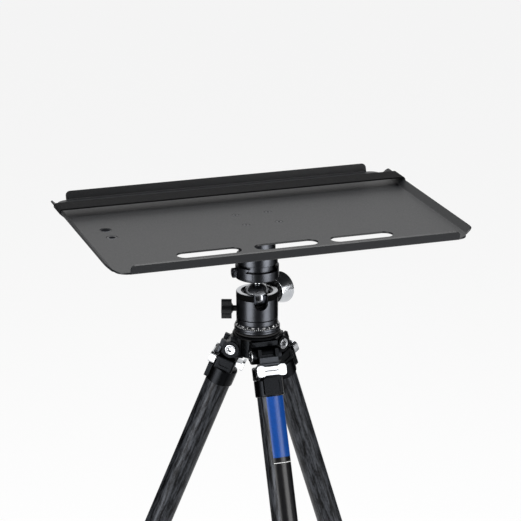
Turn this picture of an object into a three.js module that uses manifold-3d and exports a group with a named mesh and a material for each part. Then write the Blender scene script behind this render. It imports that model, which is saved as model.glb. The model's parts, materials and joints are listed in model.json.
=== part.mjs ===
// Tethering table: a folded sheet tray for a laptop, held by a ball head on a folding tripod.
// Millimetres, +Z up. The origin is on the floor, below the middle of the bounding box.
import * as THREE from 'three';
import { mergeVertices } from 'three/addons/utils/BufferGeometryUtils.js';
import Module from 'manifold-3d';

const wasm = await Module();
wasm.setup();

const degree = Math.PI / 180;

// Shared clearances and facet counts
const seatGap = 0.3;
const runningGap = 0.3;
const cutOverrun = 1;
const weldDistance = 0.0001;
const tubeFacets = 20;
const roundFacets = 28;
const smallFacets = 12;
const cornerFacets = 4;

// Tray, folded from sheet; the front is towards -Y
const trayWidth = 379;
const trayDepth = 263;
const traySheet = 2;
const trayCornerRadius = 15;
const lipLength = 10;
const lipCornerRadius = 5;
const sideLipLean = 47 * degree;
const endLipLean = 18 * degree;
const sideLipMargin = 13;
const endLipMargin = 13;
const slotCount = 3;
const slotLength = 68.7;
const slotWidth = 19;
const slotPitch = 83.2;
const slotSetback = 36.5;
const insertSideSetback = 25.5;
const insertFrontSetbacks = [116, 143];
const insertBoreRadii = [3.25, 4.75];
const insertNames = ['thread_insert_quarter', 'thread_insert_three_eighths'];
const insertBarrelRadius = 6;
const insertFlangeRadius = 8;
const insertFlangeThickness = 1.6;

// Retaining strap, a flat loop round the tray
const strapWidth = 25;
const strapThickness = 1.6;
const strapRearSetback = 48.4;
const buckleOffset = 95;
const buckleLength = 26;
const buckleThickness = 1.8;
const buckleBar = 3.2;

// Mounting column and dovetail plate under the tray
const columnFlangeRadius = 32;
const columnFlangeThickness = 4;
const columnRadius = 20;
const columnHeight = 35.7;
const columnBoreRadius = 4.2;
const columnBoreDepth = 20;
const columnScrewCircle = 26;
const columnScrewCount = 4;
const columnScrewRadius = 2;
const columnScrewHeadRadius = 3.8;
const columnScrewLength = 5.4;
const columnScrewSocketRadius = 1.3;
const columnScrewSocketDepth = 1;
const lockScrewDrop = 18;
const lockScrewRadius = 2.4;
const lockScrewHeadRadius = 3.4;
const lockScrewHeadHeight = 2.2;
const lockScrewSeat = 0.8;
const lockScrewDepth = 9;
const lockScrewSocketRadius = 1.6;
const plateRadius = 22.4;
const plateThickness = 12.1;
const dovetailHeight = 5;
const dovetailHalfWidthTop = 14;
const dovetailHalfWidthBottom = 18;
const plateBoltRadius = 3.9;
const plateBoltHeadRadius = 6.5;
const plateBoltHeadHeight = 5;
const plateBoltReach = 16;
const plateBoltSocketRadius = 3;
const plateBoltSocketDepth = 3;

// Quick-release clamp
const clampRadius = 23.7;
const clampHeight = 15.3;
const clampScrewDrop = 7.9;
const clampScrewRadius = 2.2;
const clampScrewReach = 10;
const clampKnobRadius = 5.5;
const clampKnobThickness = 4.2;
const clampKnobRidges = 10;
const clampKnobRidgeShare = 0.08;
const jawBaseDrop = 12.2;
const jawLap = 1.5;
const clampChamfer = 1.2;

// Ball head
const ballRadius = 15;
const ballAboveHousingBase = 23;
const rimAboveBall = 6.2;
const housingRadius = 22.75;
const housingRimChamfer = 0.8;
const housingRimLandRadius = 17.2;
const housingBoreRadius = 18.3;
const housingBoreHeight = 12.2;
const cupBoreRadius = 14.6;
const notchHalfWidth = 7.5;
const notchBottomBelowBall = 10.1;
const notchAzimuth = 263 * degree;
const notchInnerRadius = 9;
const stemRadius = 4.75;
const clampAboveBall = 21.2;
const stemPinRadius = 4;
const stemPinCrown = 1.2;
const cupHeight = 9.7;
const cupHoleRadius = 4;
const mainKnobAzimuth = 35 * degree;
const mainKnobBelowBall = 2.2;
const mainKnobShaftRadius = 4.2;
const mainKnobShaftStart = 17;
const mainKnobNeckRadius = 8;
const mainKnobNeckLength = 1.2;
const mainDialRadius = 12.6;
const mainDialLength = 6.8;
const mainDialRibs = 16;
const mainDialRibDepth = 1.1;
const mainKnobInnerRadius = 14.8;
const mainKnobOuterRadius = 18;
const mainKnobLength = 13.2;
const mainKnobFlutes = 10;
const mainKnobFluteRadius = 3;
const mainKnobFluteDepth = 0.9;
const mainKnobDishRadius = 11.5;
const mainKnobDishDepth = 2.5;
const panKnobAzimuth = 161 * degree;
const panKnobBelowBall = 14.6;
const panKnobShaftRadius = 3.2;
const panKnobShaftStart = 19;
const panKnobNeckLength = 4.5;
const panKnobRadius = 11.4;
const panKnobLobes = 5;
const panKnobLobeShare = 0.26;
const panKnobLength = 11.2;
const panKnobEdge = 1.2;

// Panning base and tripod top plate
const panCollarRadius = 22.6;
const panCollarHeight = 5.6;
const panRingRadius = 24.85;
const panRingHeight = 8.4;
const panScaleDrop = 3.7;
const panSpigotRadius = 18;
const panSpigotHeight = 11.9;
const panSpigotFloor = 5.9;
const topPlateRadius = 25;
const topPlateThickness = 2.5;
const studRadius = 4.76;
const studHeadRadius = 8.5;
const studHeadHeight = 3.2;
const studReachInBase = 10.9;
const studSocketRadius = 3;
const studSocketDepth = 2;

// Tripod hub
const hingeRadius = 26.5;
const hubTopAboveHinge = 18.6;
const hubBottomBelowHinge = 7;
const hubCoreRadius = 21;
const hubFlangeRadius = 27;
const hubFlangeThickness = 4.2;
const earRadius = 9.5;
const earOuterHalf = 16;
const lugHalf = 7.5;
const camOuterHalf = 11.5;
const camReach = 4.2;
const camLength = 8.5;
const pivotBoltRadius = 3;
const pivotHeadRadius = 6.2;
const pivotHeadHeight = 3;
const pivotHeadProud = 0.5;
const pivotSocketRadius = 2.6;
const pivotSocketDepth = 1.8;

// Legs
const legSpread = 21.8 * degree;
const legNames = ['left', 'front', 'right'];
const legAzimuths = [150 * degree, 270 * degree, 30 * degree];
const lugRadius = 9.2;
const neckStart = 12.4;
const neckHalfDepth = 11;
const neckHalfWidth = 14;
const collarStart = 26;
const collarEnd = 45;
const collarRadius = 15.6;
const collarChamfer = 0.6;
const padReach = 16.8;
const padHalfWidth = 10;
const padStart = 28;
const padRecessDepth = 0.8;
const padRecessMargin = 2.5;
const tubeStart = 31;
const tubeWall = 1.2;
const upperTubeRadius = 14;
const upperTubeLength = 383;
const middleTubeRadius = 12.5;
const middleTubeLength = 386;
const lowerTubeRadius = 11;
const lowerTubeLength = 362;
const middleShown = 180;
const lowerShown = 155;
const lockLength = 50;
const lockOverlap = 24;
const lockWall = 4;
const lockTaper = 1.8;
const lockRibCount = 3;
const lockRibDepth = 0.7;
const lockGripShare = 0.72;
const footBallRadius = 14;
const footSocketLength = 26;
const footSocketWall = 2;
const footInsertion = 18;
const footCentreBelowTube = 8;
const footCrownShare = 0.35;

// Angle lock tab, in the leg's own directions
const tabPlateStart = 11.4;
const tabPlateEnd = 23.8;
const tabPlateReach = 18.2;
const tabPlateThickness = 3.6;
const tabHalfWidth = 16.6;
const tabEndChamfer = 2.6;
const tabNoseHalf = 10.5;
const tabNoseStart = 3;
const tabNoseThickness = 3.4;
const tabGroove = 1;
const tabBarStart = 14.5;
const tabBarEnd = 20;
const tabBarHalf = 6;
const tabBackHalf = 6.4;
const tabBackThickness = 2.6;
const tabBackStart = 11.2;
const tabBackEnd = 22.4;
const tabTravel = 6;

// Materials
function finish(color, roughness, metalness) {
  return new THREE.MeshStandardMaterial({ color, roughness, metalness });
}

const satinBlack = finish(0x2b2b2d, 0.5, 0.6);
const anodisedBlack = finish(0x1d1d1f, 0.35, 0.7);
const castBlack = finish(0x232325, 0.45, 0.5);
const brightSteel = finish(0xc9cbce, 0.18, 1);
const silverAlloy = finish(0xb9bcc0, 0.3, 1);
const darkChrome = finish(0x3a3b3e, 0.2, 1);
const carbonTube = finish(0x2e2f33, 0.35, 0.2);
const gripRubber = finish(0x1a1a1a, 0.85, 0);
const blackWebbing = finish(0x3a3a3c, 0.9, 0);
const blackPlastic = finish(0x1c1c1c, 0.5, 0);
const darkInsert = finish(0x55565a, 0.35, 0.9);

// Closed solids from three.js geometry
function solidOf(geometry) {
  const bare = geometry.clone();
  bare.deleteAttribute('normal');
  bare.deleteAttribute('uv');
  const merged = mergeVertices(bare, weldDistance);
  const corners = merged.getAttribute('position').array;
  const index = merged.getIndex().array;
  const triangles = [];
  let volume = 0;
  for (let i = 0; i < index.length; i += 3) {
    const [a, b, c] = [index[i], index[i + 1], index[i + 2]];
    if (a === b || b === c || c === a) continue;
    triangles.push(a, b, c);
    const p = new THREE.Vector3().fromArray(corners, a * 3);
    const q = new THREE.Vector3().fromArray(corners, b * 3);
    const r = new THREE.Vector3().fromArray(corners, c * 3);
    volume += p.dot(q.cross(r));
  }
  if (volume < 0) {
    triangles.reverse();
  }
  const vertProperties = new Float32Array(corners);
  const triVerts = new Uint32Array(triangles);
  return new wasm.Manifold(new wasm.Mesh({ numProp: 3, vertProperties, triVerts }));
}

function geometryOf(solid) {
  const mesh = solid.getMesh();
  const geometry = new THREE.BufferGeometry();
  geometry.setAttribute('position', new THREE.BufferAttribute(new Float32Array(mesh.vertProperties), 3));
  geometry.setIndex(new THREE.BufferAttribute(new Uint32Array(mesh.triVerts), 1));
  geometry.computeVertexNormals();
  return geometry;
}

const joined = (...geometries) => geometries.map(solidOf).reduce((sum, next) => sum.add(next));
const cut = (body, ...tools) => tools.map(solidOf).reduce((rest, tool) => rest.subtract(tool), body);

function piece(name, shape, material, parent) {
  const geometry = shape.isBufferGeometry ? geometryOf(solidOf(shape)) : geometryOf(shape);
  const mesh = new THREE.Mesh(geometry, material);
  mesh.name = name;
  parent.add(mesh);
  return mesh;
}

// Basic shapes, all standing along +Z
function rod(radius, from, to, facets = roundFacets) {
  const length = to - from;
  const upright = new THREE.CylinderGeometry(radius, radius, length, facets).rotateX(Math.PI / 2);
  return upright.translate(0, 0, from + length / 2);
}

function block(x, y, z) {
  const size = [x[1] - x[0], y[1] - y[0], z[1] - z[0]];
  return new THREE.BoxGeometry(...size).translate((x[0] + x[1]) / 2, (y[0] + y[1]) / 2, (z[0] + z[1]) / 2);
}

function turned(profile, facets = roundFacets) {
  const points = profile.map(([radius, height]) => new THREE.Vector2(radius, height));
  return new THREE.LatheGeometry(points, facets).rotateX(Math.PI / 2);
}

function ring(inner, outer, from, to, facets = roundFacets) {
  return turned([[inner, from], [outer, from], [outer, to], [inner, to], [inner, from]], facets);
}

function prism(shape, from, to, curveSegments = cornerFacets) {
  const options = { depth: to - from, bevelEnabled: false, curveSegments };
  return new THREE.ExtrudeGeometry(shape, options).translate(0, 0, from);
}

function hexagon(radius, from, to) {
  return rod(radius, from, to, 6);
}

// A shape that stands along +Z, laid down to point outwards along azimuth from the axis
function laidOutwards(geometry, azimuth, height) {
  return geometry.rotateY(Math.PI / 2).rotateZ(azimuth).translate(0, 0, height);
}

function roundedRectangle(width, depth, radius) {
  const x = width / 2;
  const y = depth / 2;
  const shape = new THREE.Shape();
  shape.moveTo(-x + radius, -y);
  shape.lineTo(x - radius, -y);
  shape.absarc(x - radius, -y + radius, radius, -Math.PI / 2, 0);
  shape.lineTo(x, y - radius);
  shape.absarc(x - radius, y - radius, radius, 0, Math.PI / 2);
  shape.lineTo(-x + radius, y);
  shape.absarc(-x + radius, y - radius, radius, Math.PI / 2, Math.PI);
  shape.lineTo(-x, -y + radius);
  shape.absarc(-x + radius, -y + radius, radius, Math.PI, 1.5 * Math.PI);
  return shape;
}

function stadiumHole(x, y, length, width) {
  const radius = width / 2;
  const half = length / 2 - radius;
  const path = new THREE.Path();
  path.moveTo(x - half, y - radius);
  path.lineTo(x + half, y - radius);
  path.absarc(x + half, y, radius, -Math.PI / 2, Math.PI / 2);
  path.lineTo(x - half, y + radius);
  path.absarc(x - half, y, radius, Math.PI / 2, 1.5 * Math.PI);
  return path;
}

// Height levels above the leg hinges, from the hub up to the tray
const topPlateBottom = hubTopAboveHinge + seatGap;
const panBaseBottom = topPlateBottom + topPlateThickness + seatGap;
const panRingTop = panBaseBottom + panRingHeight;
const panCollarTop = panRingTop + panCollarHeight;
const housingBottom = panCollarTop + seatGap;
const ballHeight = housingBottom + ballAboveHousingBase;
const rimHeight = ballHeight + rimAboveBall;
const clampBottom = ballHeight + clampAboveBall;
const clampTop = clampBottom + clampHeight;
const plateBottom = clampTop + seatGap;
const plateTop = plateBottom + plateThickness;
const columnBottom = plateTop + seatGap;
const columnTop = columnBottom + columnHeight;
const trayBottom = columnTop + seatGap;
const trayTop = trayBottom + traySheet;

// The stem's pin ends below the clamp screw
const stemPinLength = clampHeight - clampScrewDrop - clampScrewRadius - stemPinCrown;

// Lengths along a leg, measured down from its hinge
const upperTubeEnd = tubeStart + upperTubeLength;
const firstLockStart = upperTubeEnd - lockOverlap;
const firstLockEnd = firstLockStart + lockLength;
const middleTubeEnd = firstLockEnd + middleShown + lockOverlap;
const middleTubeStart = middleTubeEnd - middleTubeLength;
const secondLockStart = middleTubeEnd - lockOverlap;
const secondLockEnd = secondLockStart + lockLength;
const lowerTubeEnd = secondLockEnd + lowerShown + footInsertion;
const lowerTubeStart = lowerTubeEnd - lowerTubeLength;
const footCentre = lowerTubeEnd + footCentreBelowTube;

const table = new THREE.Group();
const head = new THREE.Group();
table.add(head);

// Tray outline and folded lips
function slotX(number) {
  return (number - (slotCount - 1) / 2) * slotPitch;
}

const traySlotY = slotSetback - trayDepth / 2;
const insertX = insertSideSetback - trayWidth / 2;
const insertY = (number) => insertFrontSetbacks[number] - trayDepth / 2;

function screwPlaces() {
  const places = [];
  for (let i = 0; i < columnScrewCount; i += 1) {
    const angle = (i + 0.5) * (2 * Math.PI / columnScrewCount);
    places.push([columnScrewCircle * Math.cos(angle), columnScrewCircle * Math.sin(angle)]);
  }
  return places;
}

function trayPanel() {
  const outline = roundedRectangle(trayWidth, trayDepth, trayCornerRadius);
  for (let i = 0; i < slotCount; i += 1) {
    outline.holes.push(stadiumHole(slotX(i), traySlotY, slotLength, slotWidth));
  }
  return prism(outline, -traySheet, 0);
}

function trayBores() {
  const bore = (radius) => rod(radius + seatGap, -traySheet - cutOverrun, cutOverrun, smallFacets);
  const inserts = insertFrontSetbacks.map((setback, i) => {
    return bore(insertBarrelRadius).translate(insertX, insertY(i), 0);
  });
  const screws = screwPlaces().map(([x, y]) => bore(columnScrewHeadRadius).translate(x, y, 0));
  return [...inserts, ...screws];
}

// A lip folds up at x = 0 and runs along Y; its upper corners are round
function foldedLip(run, lean) {
  const half = run / 2;
  const corner = lipCornerRadius;
  const rise = new THREE.Vector2(Math.sin(lean), Math.cos(lean));
  const outwards = new THREE.Vector2(Math.cos(lean), -Math.sin(lean)).multiplyScalar(traySheet);
  const tip = rise.multiplyScalar(lipLength);
  const section = new THREE.Shape();
  section.moveTo(-traySheet, 0);
  section.lineTo(0, 0);
  section.lineTo(tip.x, tip.y);
  section.lineTo(tip.x + outwards.x, tip.y + outwards.y);
  section.absarc(0, 0, traySheet, -lean, -Math.PI / 2, true);
  section.lineTo(-traySheet, -traySheet);
  const long = prism(section, -half - cutOverrun, half + cutOverrun).rotateX(Math.PI / 2);
  const face = new THREE.Shape();
  face.moveTo(-half, -2 * traySheet);
  face.lineTo(half, -2 * traySheet);
  face.lineTo(half, lipLength - corner);
  face.absarc(half - corner, lipLength - corner, corner, 0, Math.PI / 2);
  face.lineTo(-half + corner, lipLength);
  face.absarc(-half + corner, lipLength - corner, corner, Math.PI / 2, Math.PI);
  const trim = prism(face, -2 * traySheet, 3 * traySheet);
  trim.rotateX(Math.PI / 2).rotateZ(Math.PI / 2).rotateY(lean);
  return geometryOf(solidOf(long).intersect(solidOf(trim)));
}

function trayPan() {
  const sides = [0, Math.PI].map((turn) => {
    const lip = foldedLip(trayDepth - 2 * sideLipMargin, sideLipLean);
    return lip.translate(trayWidth / 2, 0, 0).rotateZ(turn);
  });
  const ends = [-1, 1].map((side) => {
    const lip = foldedLip(trayWidth - 2 * endLipMargin, endLipLean);
    return lip.translate(trayDepth / 2, 0, 0).rotateZ(side * Math.PI / 2);
  });
  return cut(joined(trayPanel(), ...sides, ...ends), ...trayBores());
}

const tray = new THREE.Group();
tray.position.z = trayTop;
head.add(tray);
piece('tray_pan', trayPan(), satinBlack, tray);

for (let i = 0; i < insertFrontSetbacks.length; i += 1) {
  const bore = insertBoreRadii[i];
  const underTray = -traySheet - seatGap;
  const profile = [
    [bore, underTray - insertFlangeThickness],
    [insertFlangeRadius, underTray - insertFlangeThickness],
    [insertFlangeRadius, underTray],
    [insertBarrelRadius, underTray],
    [insertBarrelRadius, 0],
    [bore, 0],
    [bore, underTray - insertFlangeThickness],
  ];
  piece(insertNames[i], turned(profile, smallFacets), darkInsert, tray).position.set(insertX, insertY(i), 0);
}

// Strap: a band whose inner line touches the lips and the underside of the tray
function strapBand() {
  const tipX = trayWidth / 2 + lipLength * Math.sin(sideLipLean);
  const tipZ = lipLength * Math.cos(sideLipLean);
  const outX = Math.cos(sideLipLean);
  const outZ = -Math.sin(sideLipLean);
  const away = traySheet + seatGap;
  const right = [
    [tipX, tipZ + seatGap],
    [tipX + outX * away, tipZ + outZ * away],
    [trayWidth / 2 + outX * away, outZ * away],
    [trayWidth / 2, -away],
  ];
  const left = right.map(([x, z]) => [-x, z]).reverse();
  const inner = [...right, ...left].map(([x, z]) => new THREE.Vector2(x, z));
  const outer = [];
  inner.forEach((corner, i) => {
    const before = inner[(i + inner.length - 1) % inner.length];
    const after = inner[(i + 1) % inner.length];
    const into = corner.clone().sub(before).normalize();
    const outOf = after.clone().sub(corner).normalize();
    for (const along of [into, into.clone().add(outOf).normalize(), outOf]) {
      outer.push(new THREE.Vector2(-along.y, along.x).multiplyScalar(strapThickness).add(corner));
    }
  });
  const band = new THREE.Shape(outer);
  band.holes.push(new THREE.Path([...inner].reverse()));
  return prism(band, -strapWidth / 2, strapWidth / 2).rotateX(Math.PI / 2);
}

const strapY = trayDepth / 2 - strapRearSetback;
piece('strap', strapBand(), blackWebbing, tray).position.y = strapY;

// Buckle: a frame round the lower run of the strap, with a bar across
function buckleFrame() {
  const half = strapWidth / 2 + seatGap + buckleBar;
  const window = strapWidth / 2 + seatGap;
  const top = strapThickness / 2 + seatGap;
  const low = -strapThickness / 2 - seatGap;
  const bottom = low - buckleThickness;
  const outerBody = block([-buckleLength / 2, buckleLength / 2], [-half, half], [bottom, top]);
  const channel = block([-buckleLength, buckleLength], [-window, window], [low, top + cutOverrun]);
  const opening = buckleLength / 2 - buckleBar;
  const windows = [-1, 1].map((side) => {
    const near = side * (buckleBar / 2);
    const far = side * opening;
    const across = [Math.min(near, far), Math.max(near, far)];
    return block(across, [-window, window], [bottom - cutOverrun, low + cutOverrun]);
  });
  return cut(solidOf(outerBody), channel, ...windows);
}

const strapUnderside = -traySheet - seatGap - strapThickness / 2;
piece('strap_buckle', buckleFrame(), blackPlastic, tray).position.set(buckleOffset, strapY, strapUnderside);

// Mounting column with its four countersunk screws and a cross screw
function mountColumn() {
  const flangeBottom = columnTop - columnFlangeThickness;
  const profile = [
    [0, columnBottom + columnBoreDepth],
    [columnBoreRadius, columnBottom + columnBoreDepth],
    [columnBoreRadius, columnBottom],
    [columnRadius, columnBottom],
    [columnRadius, flangeBottom - columnFlangeThickness],
    [columnRadius + columnFlangeThickness, flangeBottom],
    [columnFlangeRadius, flangeBottom],
    [columnFlangeRadius, columnTop],
    [0, columnTop],
  ];
  const holeBottom = trayTop - columnScrewLength - seatGap;
  const holes = screwPlaces().map(([x, y]) => {
    const hole = rod(columnScrewRadius + seatGap, holeBottom, columnTop + cutOverrun, smallFacets);
    return hole.translate(x, y, 0);
  });
  const crossHeight = trayBottom - lockScrewDrop;
  const outside = columnRadius + cutOverrun;
  const crossStart = columnRadius - lockScrewDepth - seatGap;
  const crossHole = rod(lockScrewRadius + seatGap, crossStart, outside, smallFacets);
  const seatStart = columnRadius - lockScrewSeat - seatGap;
  const seat = rod(lockScrewHeadRadius + seatGap, seatStart, outside, smallFacets);
  const crossTools = [crossHole, seat].map((tool) => laidOutwards(tool, -Math.PI / 2, crossHeight));
  return cut(solidOf(turned(profile)), ...holes, ...crossTools);
}

piece('mount_column', mountColumn(), anodisedBlack, head);

// A screw with its head's top at z = 0 and a hexagon socket in it
function socketScrew(shank, headSize, socketSize) {
  const profile = [
    [0, -shank.length],
    [shank.radius, -shank.length],
    [shank.radius, -headSize.height],
    [headSize.radius, -headSize.height],
    [headSize.radius, 0],
    [0, 0],
  ];
  const socket = hexagon(socketSize.radius, -socketSize.depth, cutOverrun);
  return geometryOf(cut(solidOf(turned(profile, smallFacets)), socket));
}

screwPlaces().forEach(([x, y], i) => {
  const shank = { radius: columnScrewRadius, length: columnScrewLength };
  const headSize = { radius: columnScrewHeadRadius, height: traySheet };
  const socketSize = { radius: columnScrewSocketRadius, depth: columnScrewSocketDepth };
  const screw = socketScrew(shank, headSize, socketSize);
  piece(`column_screw_${i + 1}`, screw, brightSteel, tray).position.set(x, y, 0);
});

const lockScrewLength = lockScrewDepth - lockScrewSeat + lockScrewHeadHeight;
const lockScrew = socketScrew(
  { radius: lockScrewRadius, length: lockScrewLength },
  { radius: lockScrewHeadRadius, height: lockScrewHeadHeight },
  { radius: lockScrewSocketRadius, depth: lockScrewHeadHeight / 2 },
);
lockScrew.translate(0, 0, columnRadius - lockScrewSeat + lockScrewHeadHeight);
laidOutwards(lockScrew, -Math.PI / 2, trayBottom - lockScrewDrop);
piece('column_lock_screw', lockScrew, brightSteel, head);

// Round plate with a dovetail foot that runs front to back
function dovetail(extra, from, to, length) {
  const slope = (dovetailHalfWidthBottom - dovetailHalfWidthTop) / dovetailHeight;
  const top = dovetailHalfWidthTop + extra;
  const low = dovetailHalfWidthBottom + extra;
  const shape = new THREE.Shape();
  shape.moveTo(-low - slope * (-dovetailHeight - from), from);
  shape.lineTo(low + slope * (-dovetailHeight - from), from);
  shape.lineTo(top - slope * to, to);
  shape.lineTo(-top + slope * to, to);
  return prism(shape, -length / 2, length / 2).rotateX(Math.PI / 2);
}

function dovetailPlate() {
  const disc = turned([
    [0, 0],
    [plateRadius - clampChamfer, 0],
    [plateRadius, clampChamfer],
    [plateRadius, plateThickness - clampChamfer],
    [plateRadius - clampChamfer, plateThickness],
    [0, plateThickness],
  ]);
  const foot = solidOf(dovetail(0, -dovetailHeight, cutOverrun, 2 * plateRadius));
  const footDisc = solidOf(rod(plateRadius - clampChamfer, -dovetailHeight - cutOverrun, cutOverrun));
  const below = -dovetailHeight - cutOverrun;
  const boltHole = rod(plateBoltRadius + seatGap, below, plateThickness + cutOverrun, smallFacets);
  const headTop = -dovetailHeight + plateBoltHeadHeight + 2 * seatGap;
  const headHole = rod(plateBoltHeadRadius + seatGap, below, headTop, smallFacets);
  return cut(solidOf(disc).add(foot.intersect(footDisc)), boltHole, headHole);
}

piece('dovetail_plate', dovetailPlate(), anodisedBlack, head).position.z = plateBottom;

const plateBoltLength = plateBoltHeadHeight + plateThickness + plateBoltReach - dovetailHeight;
const plateBolt = socketScrew(
  { radius: plateBoltRadius, length: plateBoltLength },
  { radius: plateBoltHeadRadius, height: plateBoltHeadHeight },
  { radius: plateBoltSocketRadius, depth: plateBoltSocketDepth },
);
plateBolt.rotateX(Math.PI).translate(0, 0, plateBottom - dovetailHeight + seatGap);
piece('plate_bolt', plateBolt, brightSteel, head);

// Clamp body: a round block with the dovetail channel; the -X side is open for the moving jaw
const clampScrewHeight = clampTop - clampScrewDrop;
const jawBase = clampTop - jawBaseDrop;
const jawInset = dovetailHalfWidthTop - jawLap;

function clampDisc(from, to) {
  return turned([
    [0, from],
    [clampRadius - clampChamfer, from],
    [clampRadius, from + clampChamfer],
    [clampRadius, to - clampChamfer],
    [clampRadius - clampChamfer, to],
    [0, to],
  ]);
}

const clampReach = 2 * clampRadius;

function clampChannel() {
  const channel = dovetail(seatGap, -dovetailHeight - seatGap, cutOverrun, 2 * clampReach);
  return channel.translate(0, 0, plateBottom);
}

function clampBody() {
  const jawX = [-clampReach, -jawInset + runningGap];
  const jawZ = [jawBase - runningGap, clampTop + cutOverrun];
  const jawSpace = block(jawX, [-clampReach, clampReach], jawZ);
  const screwEnd = -clampScrewReach - runningGap;
  const screwHole = rod(clampScrewRadius + runningGap, screwEnd, clampReach, smallFacets);
  laidOutwards(screwHole, Math.PI, clampScrewHeight);
  const stemEnd = clampBottom + stemPinLength + runningGap;
  const stemHole = rod(stemPinRadius + runningGap, clampBottom - cutOverrun, stemEnd, smallFacets);
  return cut(solidOf(clampDisc(clampBottom, clampTop)), clampChannel(), jawSpace, screwHole, stemHole);
}

piece('clamp_body', clampBody(), anodisedBlack, head);

function clampJaw() {
  const jawZ = [jawBase, clampTop + cutOverrun];
  const room = solidOf(block([-clampReach, -jawInset], [-clampReach, clampReach], jawZ));
  const screwHole = rod(clampScrewRadius + runningGap, 0, clampReach, smallFacets);
  laidOutwards(screwHole, Math.PI, clampScrewHeight);
  return cut(solidOf(clampDisc(clampBottom, clampTop)).intersect(room), clampChannel(), screwHole);
}

piece('clamp_jaw', clampJaw(), anodisedBlack, head);

function lobedOutline(radius, lobes, lobeShare, steps) {
  const points = [];
  for (let i = 0; i < steps; i += 1) {
    const angle = i * (2 * Math.PI / steps);
    const reach = radius * (1 - lobeShare / 2 + (lobeShare / 2) * Math.cos(lobes * angle));
    points.push(new THREE.Vector2(reach * Math.cos(angle), reach * Math.sin(angle)));
  }
  return new THREE.Shape(points);
}

function clampKnob() {
  const start = clampRadius + seatGap;
  const shaft = rod(clampScrewRadius, -clampScrewReach, start + cutOverrun, smallFacets);
  const outline = lobedOutline(clampKnobRadius, clampKnobRidges, clampKnobRidgeShare, 4 * clampKnobRidges);
  const grip = prism(outline, start, start + clampKnobThickness);
  return laidOutwards(geometryOf(joined(shaft, grip)), Math.PI, clampScrewHeight);
}

piece('clamp_knob', clampKnob(), anodisedBlack, head);

// Ball, stem and cup
const ball = new THREE.SphereGeometry(ballRadius, 20, 10).rotateX(Math.PI / 2);
piece('ball', ball, darkChrome, head).position.z = ballHeight;

function sphereArc(radius, fromRadius, toRadius, steps, side) {
  const from = Math.asin(fromRadius / radius);
  const to = Math.asin(toRadius / radius);
  const points = [];
  for (let i = 0; i <= steps; i += 1) {
    const angle = from + (to - from) * (i / steps);
    points.push([radius * Math.sin(angle), side * radius * Math.cos(angle)]);
  }
  return points;
}

const stemTop = clampAboveBall - seatGap;
const stemProfile = [
  ...sphereArc(ballRadius + runningGap, 0, stemRadius, 3, 1),
  [stemRadius, stemTop],
  [stemPinRadius, stemTop],
  [stemPinRadius, clampAboveBall + stemPinLength],
  [0, clampAboveBall + stemPinLength],
];
piece('ball_stem', turned(stemProfile, 16), brightSteel, head).position.z = ballHeight;

const cupFloor = panSpigotFloor - ballAboveHousingBase;
const seatRadius = ballRadius + runningGap;
const seatMouth = Math.sqrt(seatRadius ** 2 - (cupFloor + cupHeight) ** 2);
const cupSeat = sphereArc(seatRadius, cupHoleRadius, seatMouth, 4, -1);
const cupProfile = [
  [cupHoleRadius, cupFloor],
  ...cupSeat,
  [cupBoreRadius - seatGap, cupFloor + cupHeight],
  [cupBoreRadius - seatGap, cupFloor],
  [cupHoleRadius, cupFloor],
];
piece('ball_cup', turned(cupProfile, 16), blackPlastic, head).position.z = ballHeight;

// Ball housing with its drop notch and the two knob holes
function ballHousing() {
  const cavity = ballRadius + runningGap + weldDistance;
  const mouth = Math.sqrt(cavity ** 2 - rimAboveBall ** 2);
  const seatHeight = -Math.sqrt(cavity ** 2 - cupBoreRadius ** 2);
  const arc = [];
  const steps = 4;
  for (let i = 0; i <= steps; i += 1) {
    const height = seatHeight + (rimAboveBall - seatHeight) * (i / steps);
    arc.push([Math.sqrt(cavity ** 2 - height ** 2), height]);
  }
  const base = -ballAboveHousingBase;
  const profile = [
    [housingBoreRadius, base],
    [housingRadius, base],
    [housingRadius, rimAboveBall - housingRimChamfer],
    [Math.max(housingRimLandRadius, mouth), rimAboveBall],
    ...arc.reverse(),
    [cupBoreRadius, base + housingBoreHeight],
    [housingBoreRadius, base + housingBoreHeight],
    [housingBoreRadius, base],
  ];
  const notchCentre = notchHalfWidth - notchBottomBelowBall;
  const notchShape = new THREE.Shape();
  notchShape.moveTo(-notchHalfWidth, rimAboveBall + cutOverrun);
  notchShape.lineTo(-notchHalfWidth, notchCentre);
  notchShape.absarc(0, notchCentre, notchHalfWidth, Math.PI, 2 * Math.PI);
  notchShape.lineTo(notchHalfWidth, rimAboveBall + cutOverrun);
  const notch = prism(notchShape, notchInnerRadius, housingRadius + cutOverrun, 6);
  notch.rotateX(Math.PI / 2).rotateZ(Math.PI / 2).rotateZ(notchAzimuth);
  const outside = housingRadius + cutOverrun;
  const mainHole = rod(mainKnobShaftRadius + runningGap, cupBoreRadius - cutOverrun, outside, smallFacets);
  const panHole = rod(panKnobShaftRadius + runningGap, housingBoreRadius - cutOverrun, outside, smallFacets);
  laidOutwards(mainHole, mainKnobAzimuth, -mainKnobBelowBall);
  laidOutwards(panHole, panKnobAzimuth, -panKnobBelowBall);
  return cut(solidOf(turned(profile, 30)), notch, mainHole, panHole);
}

piece('ball_housing', ballHousing(), anodisedBlack, head).position.z = ballHeight;

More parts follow.
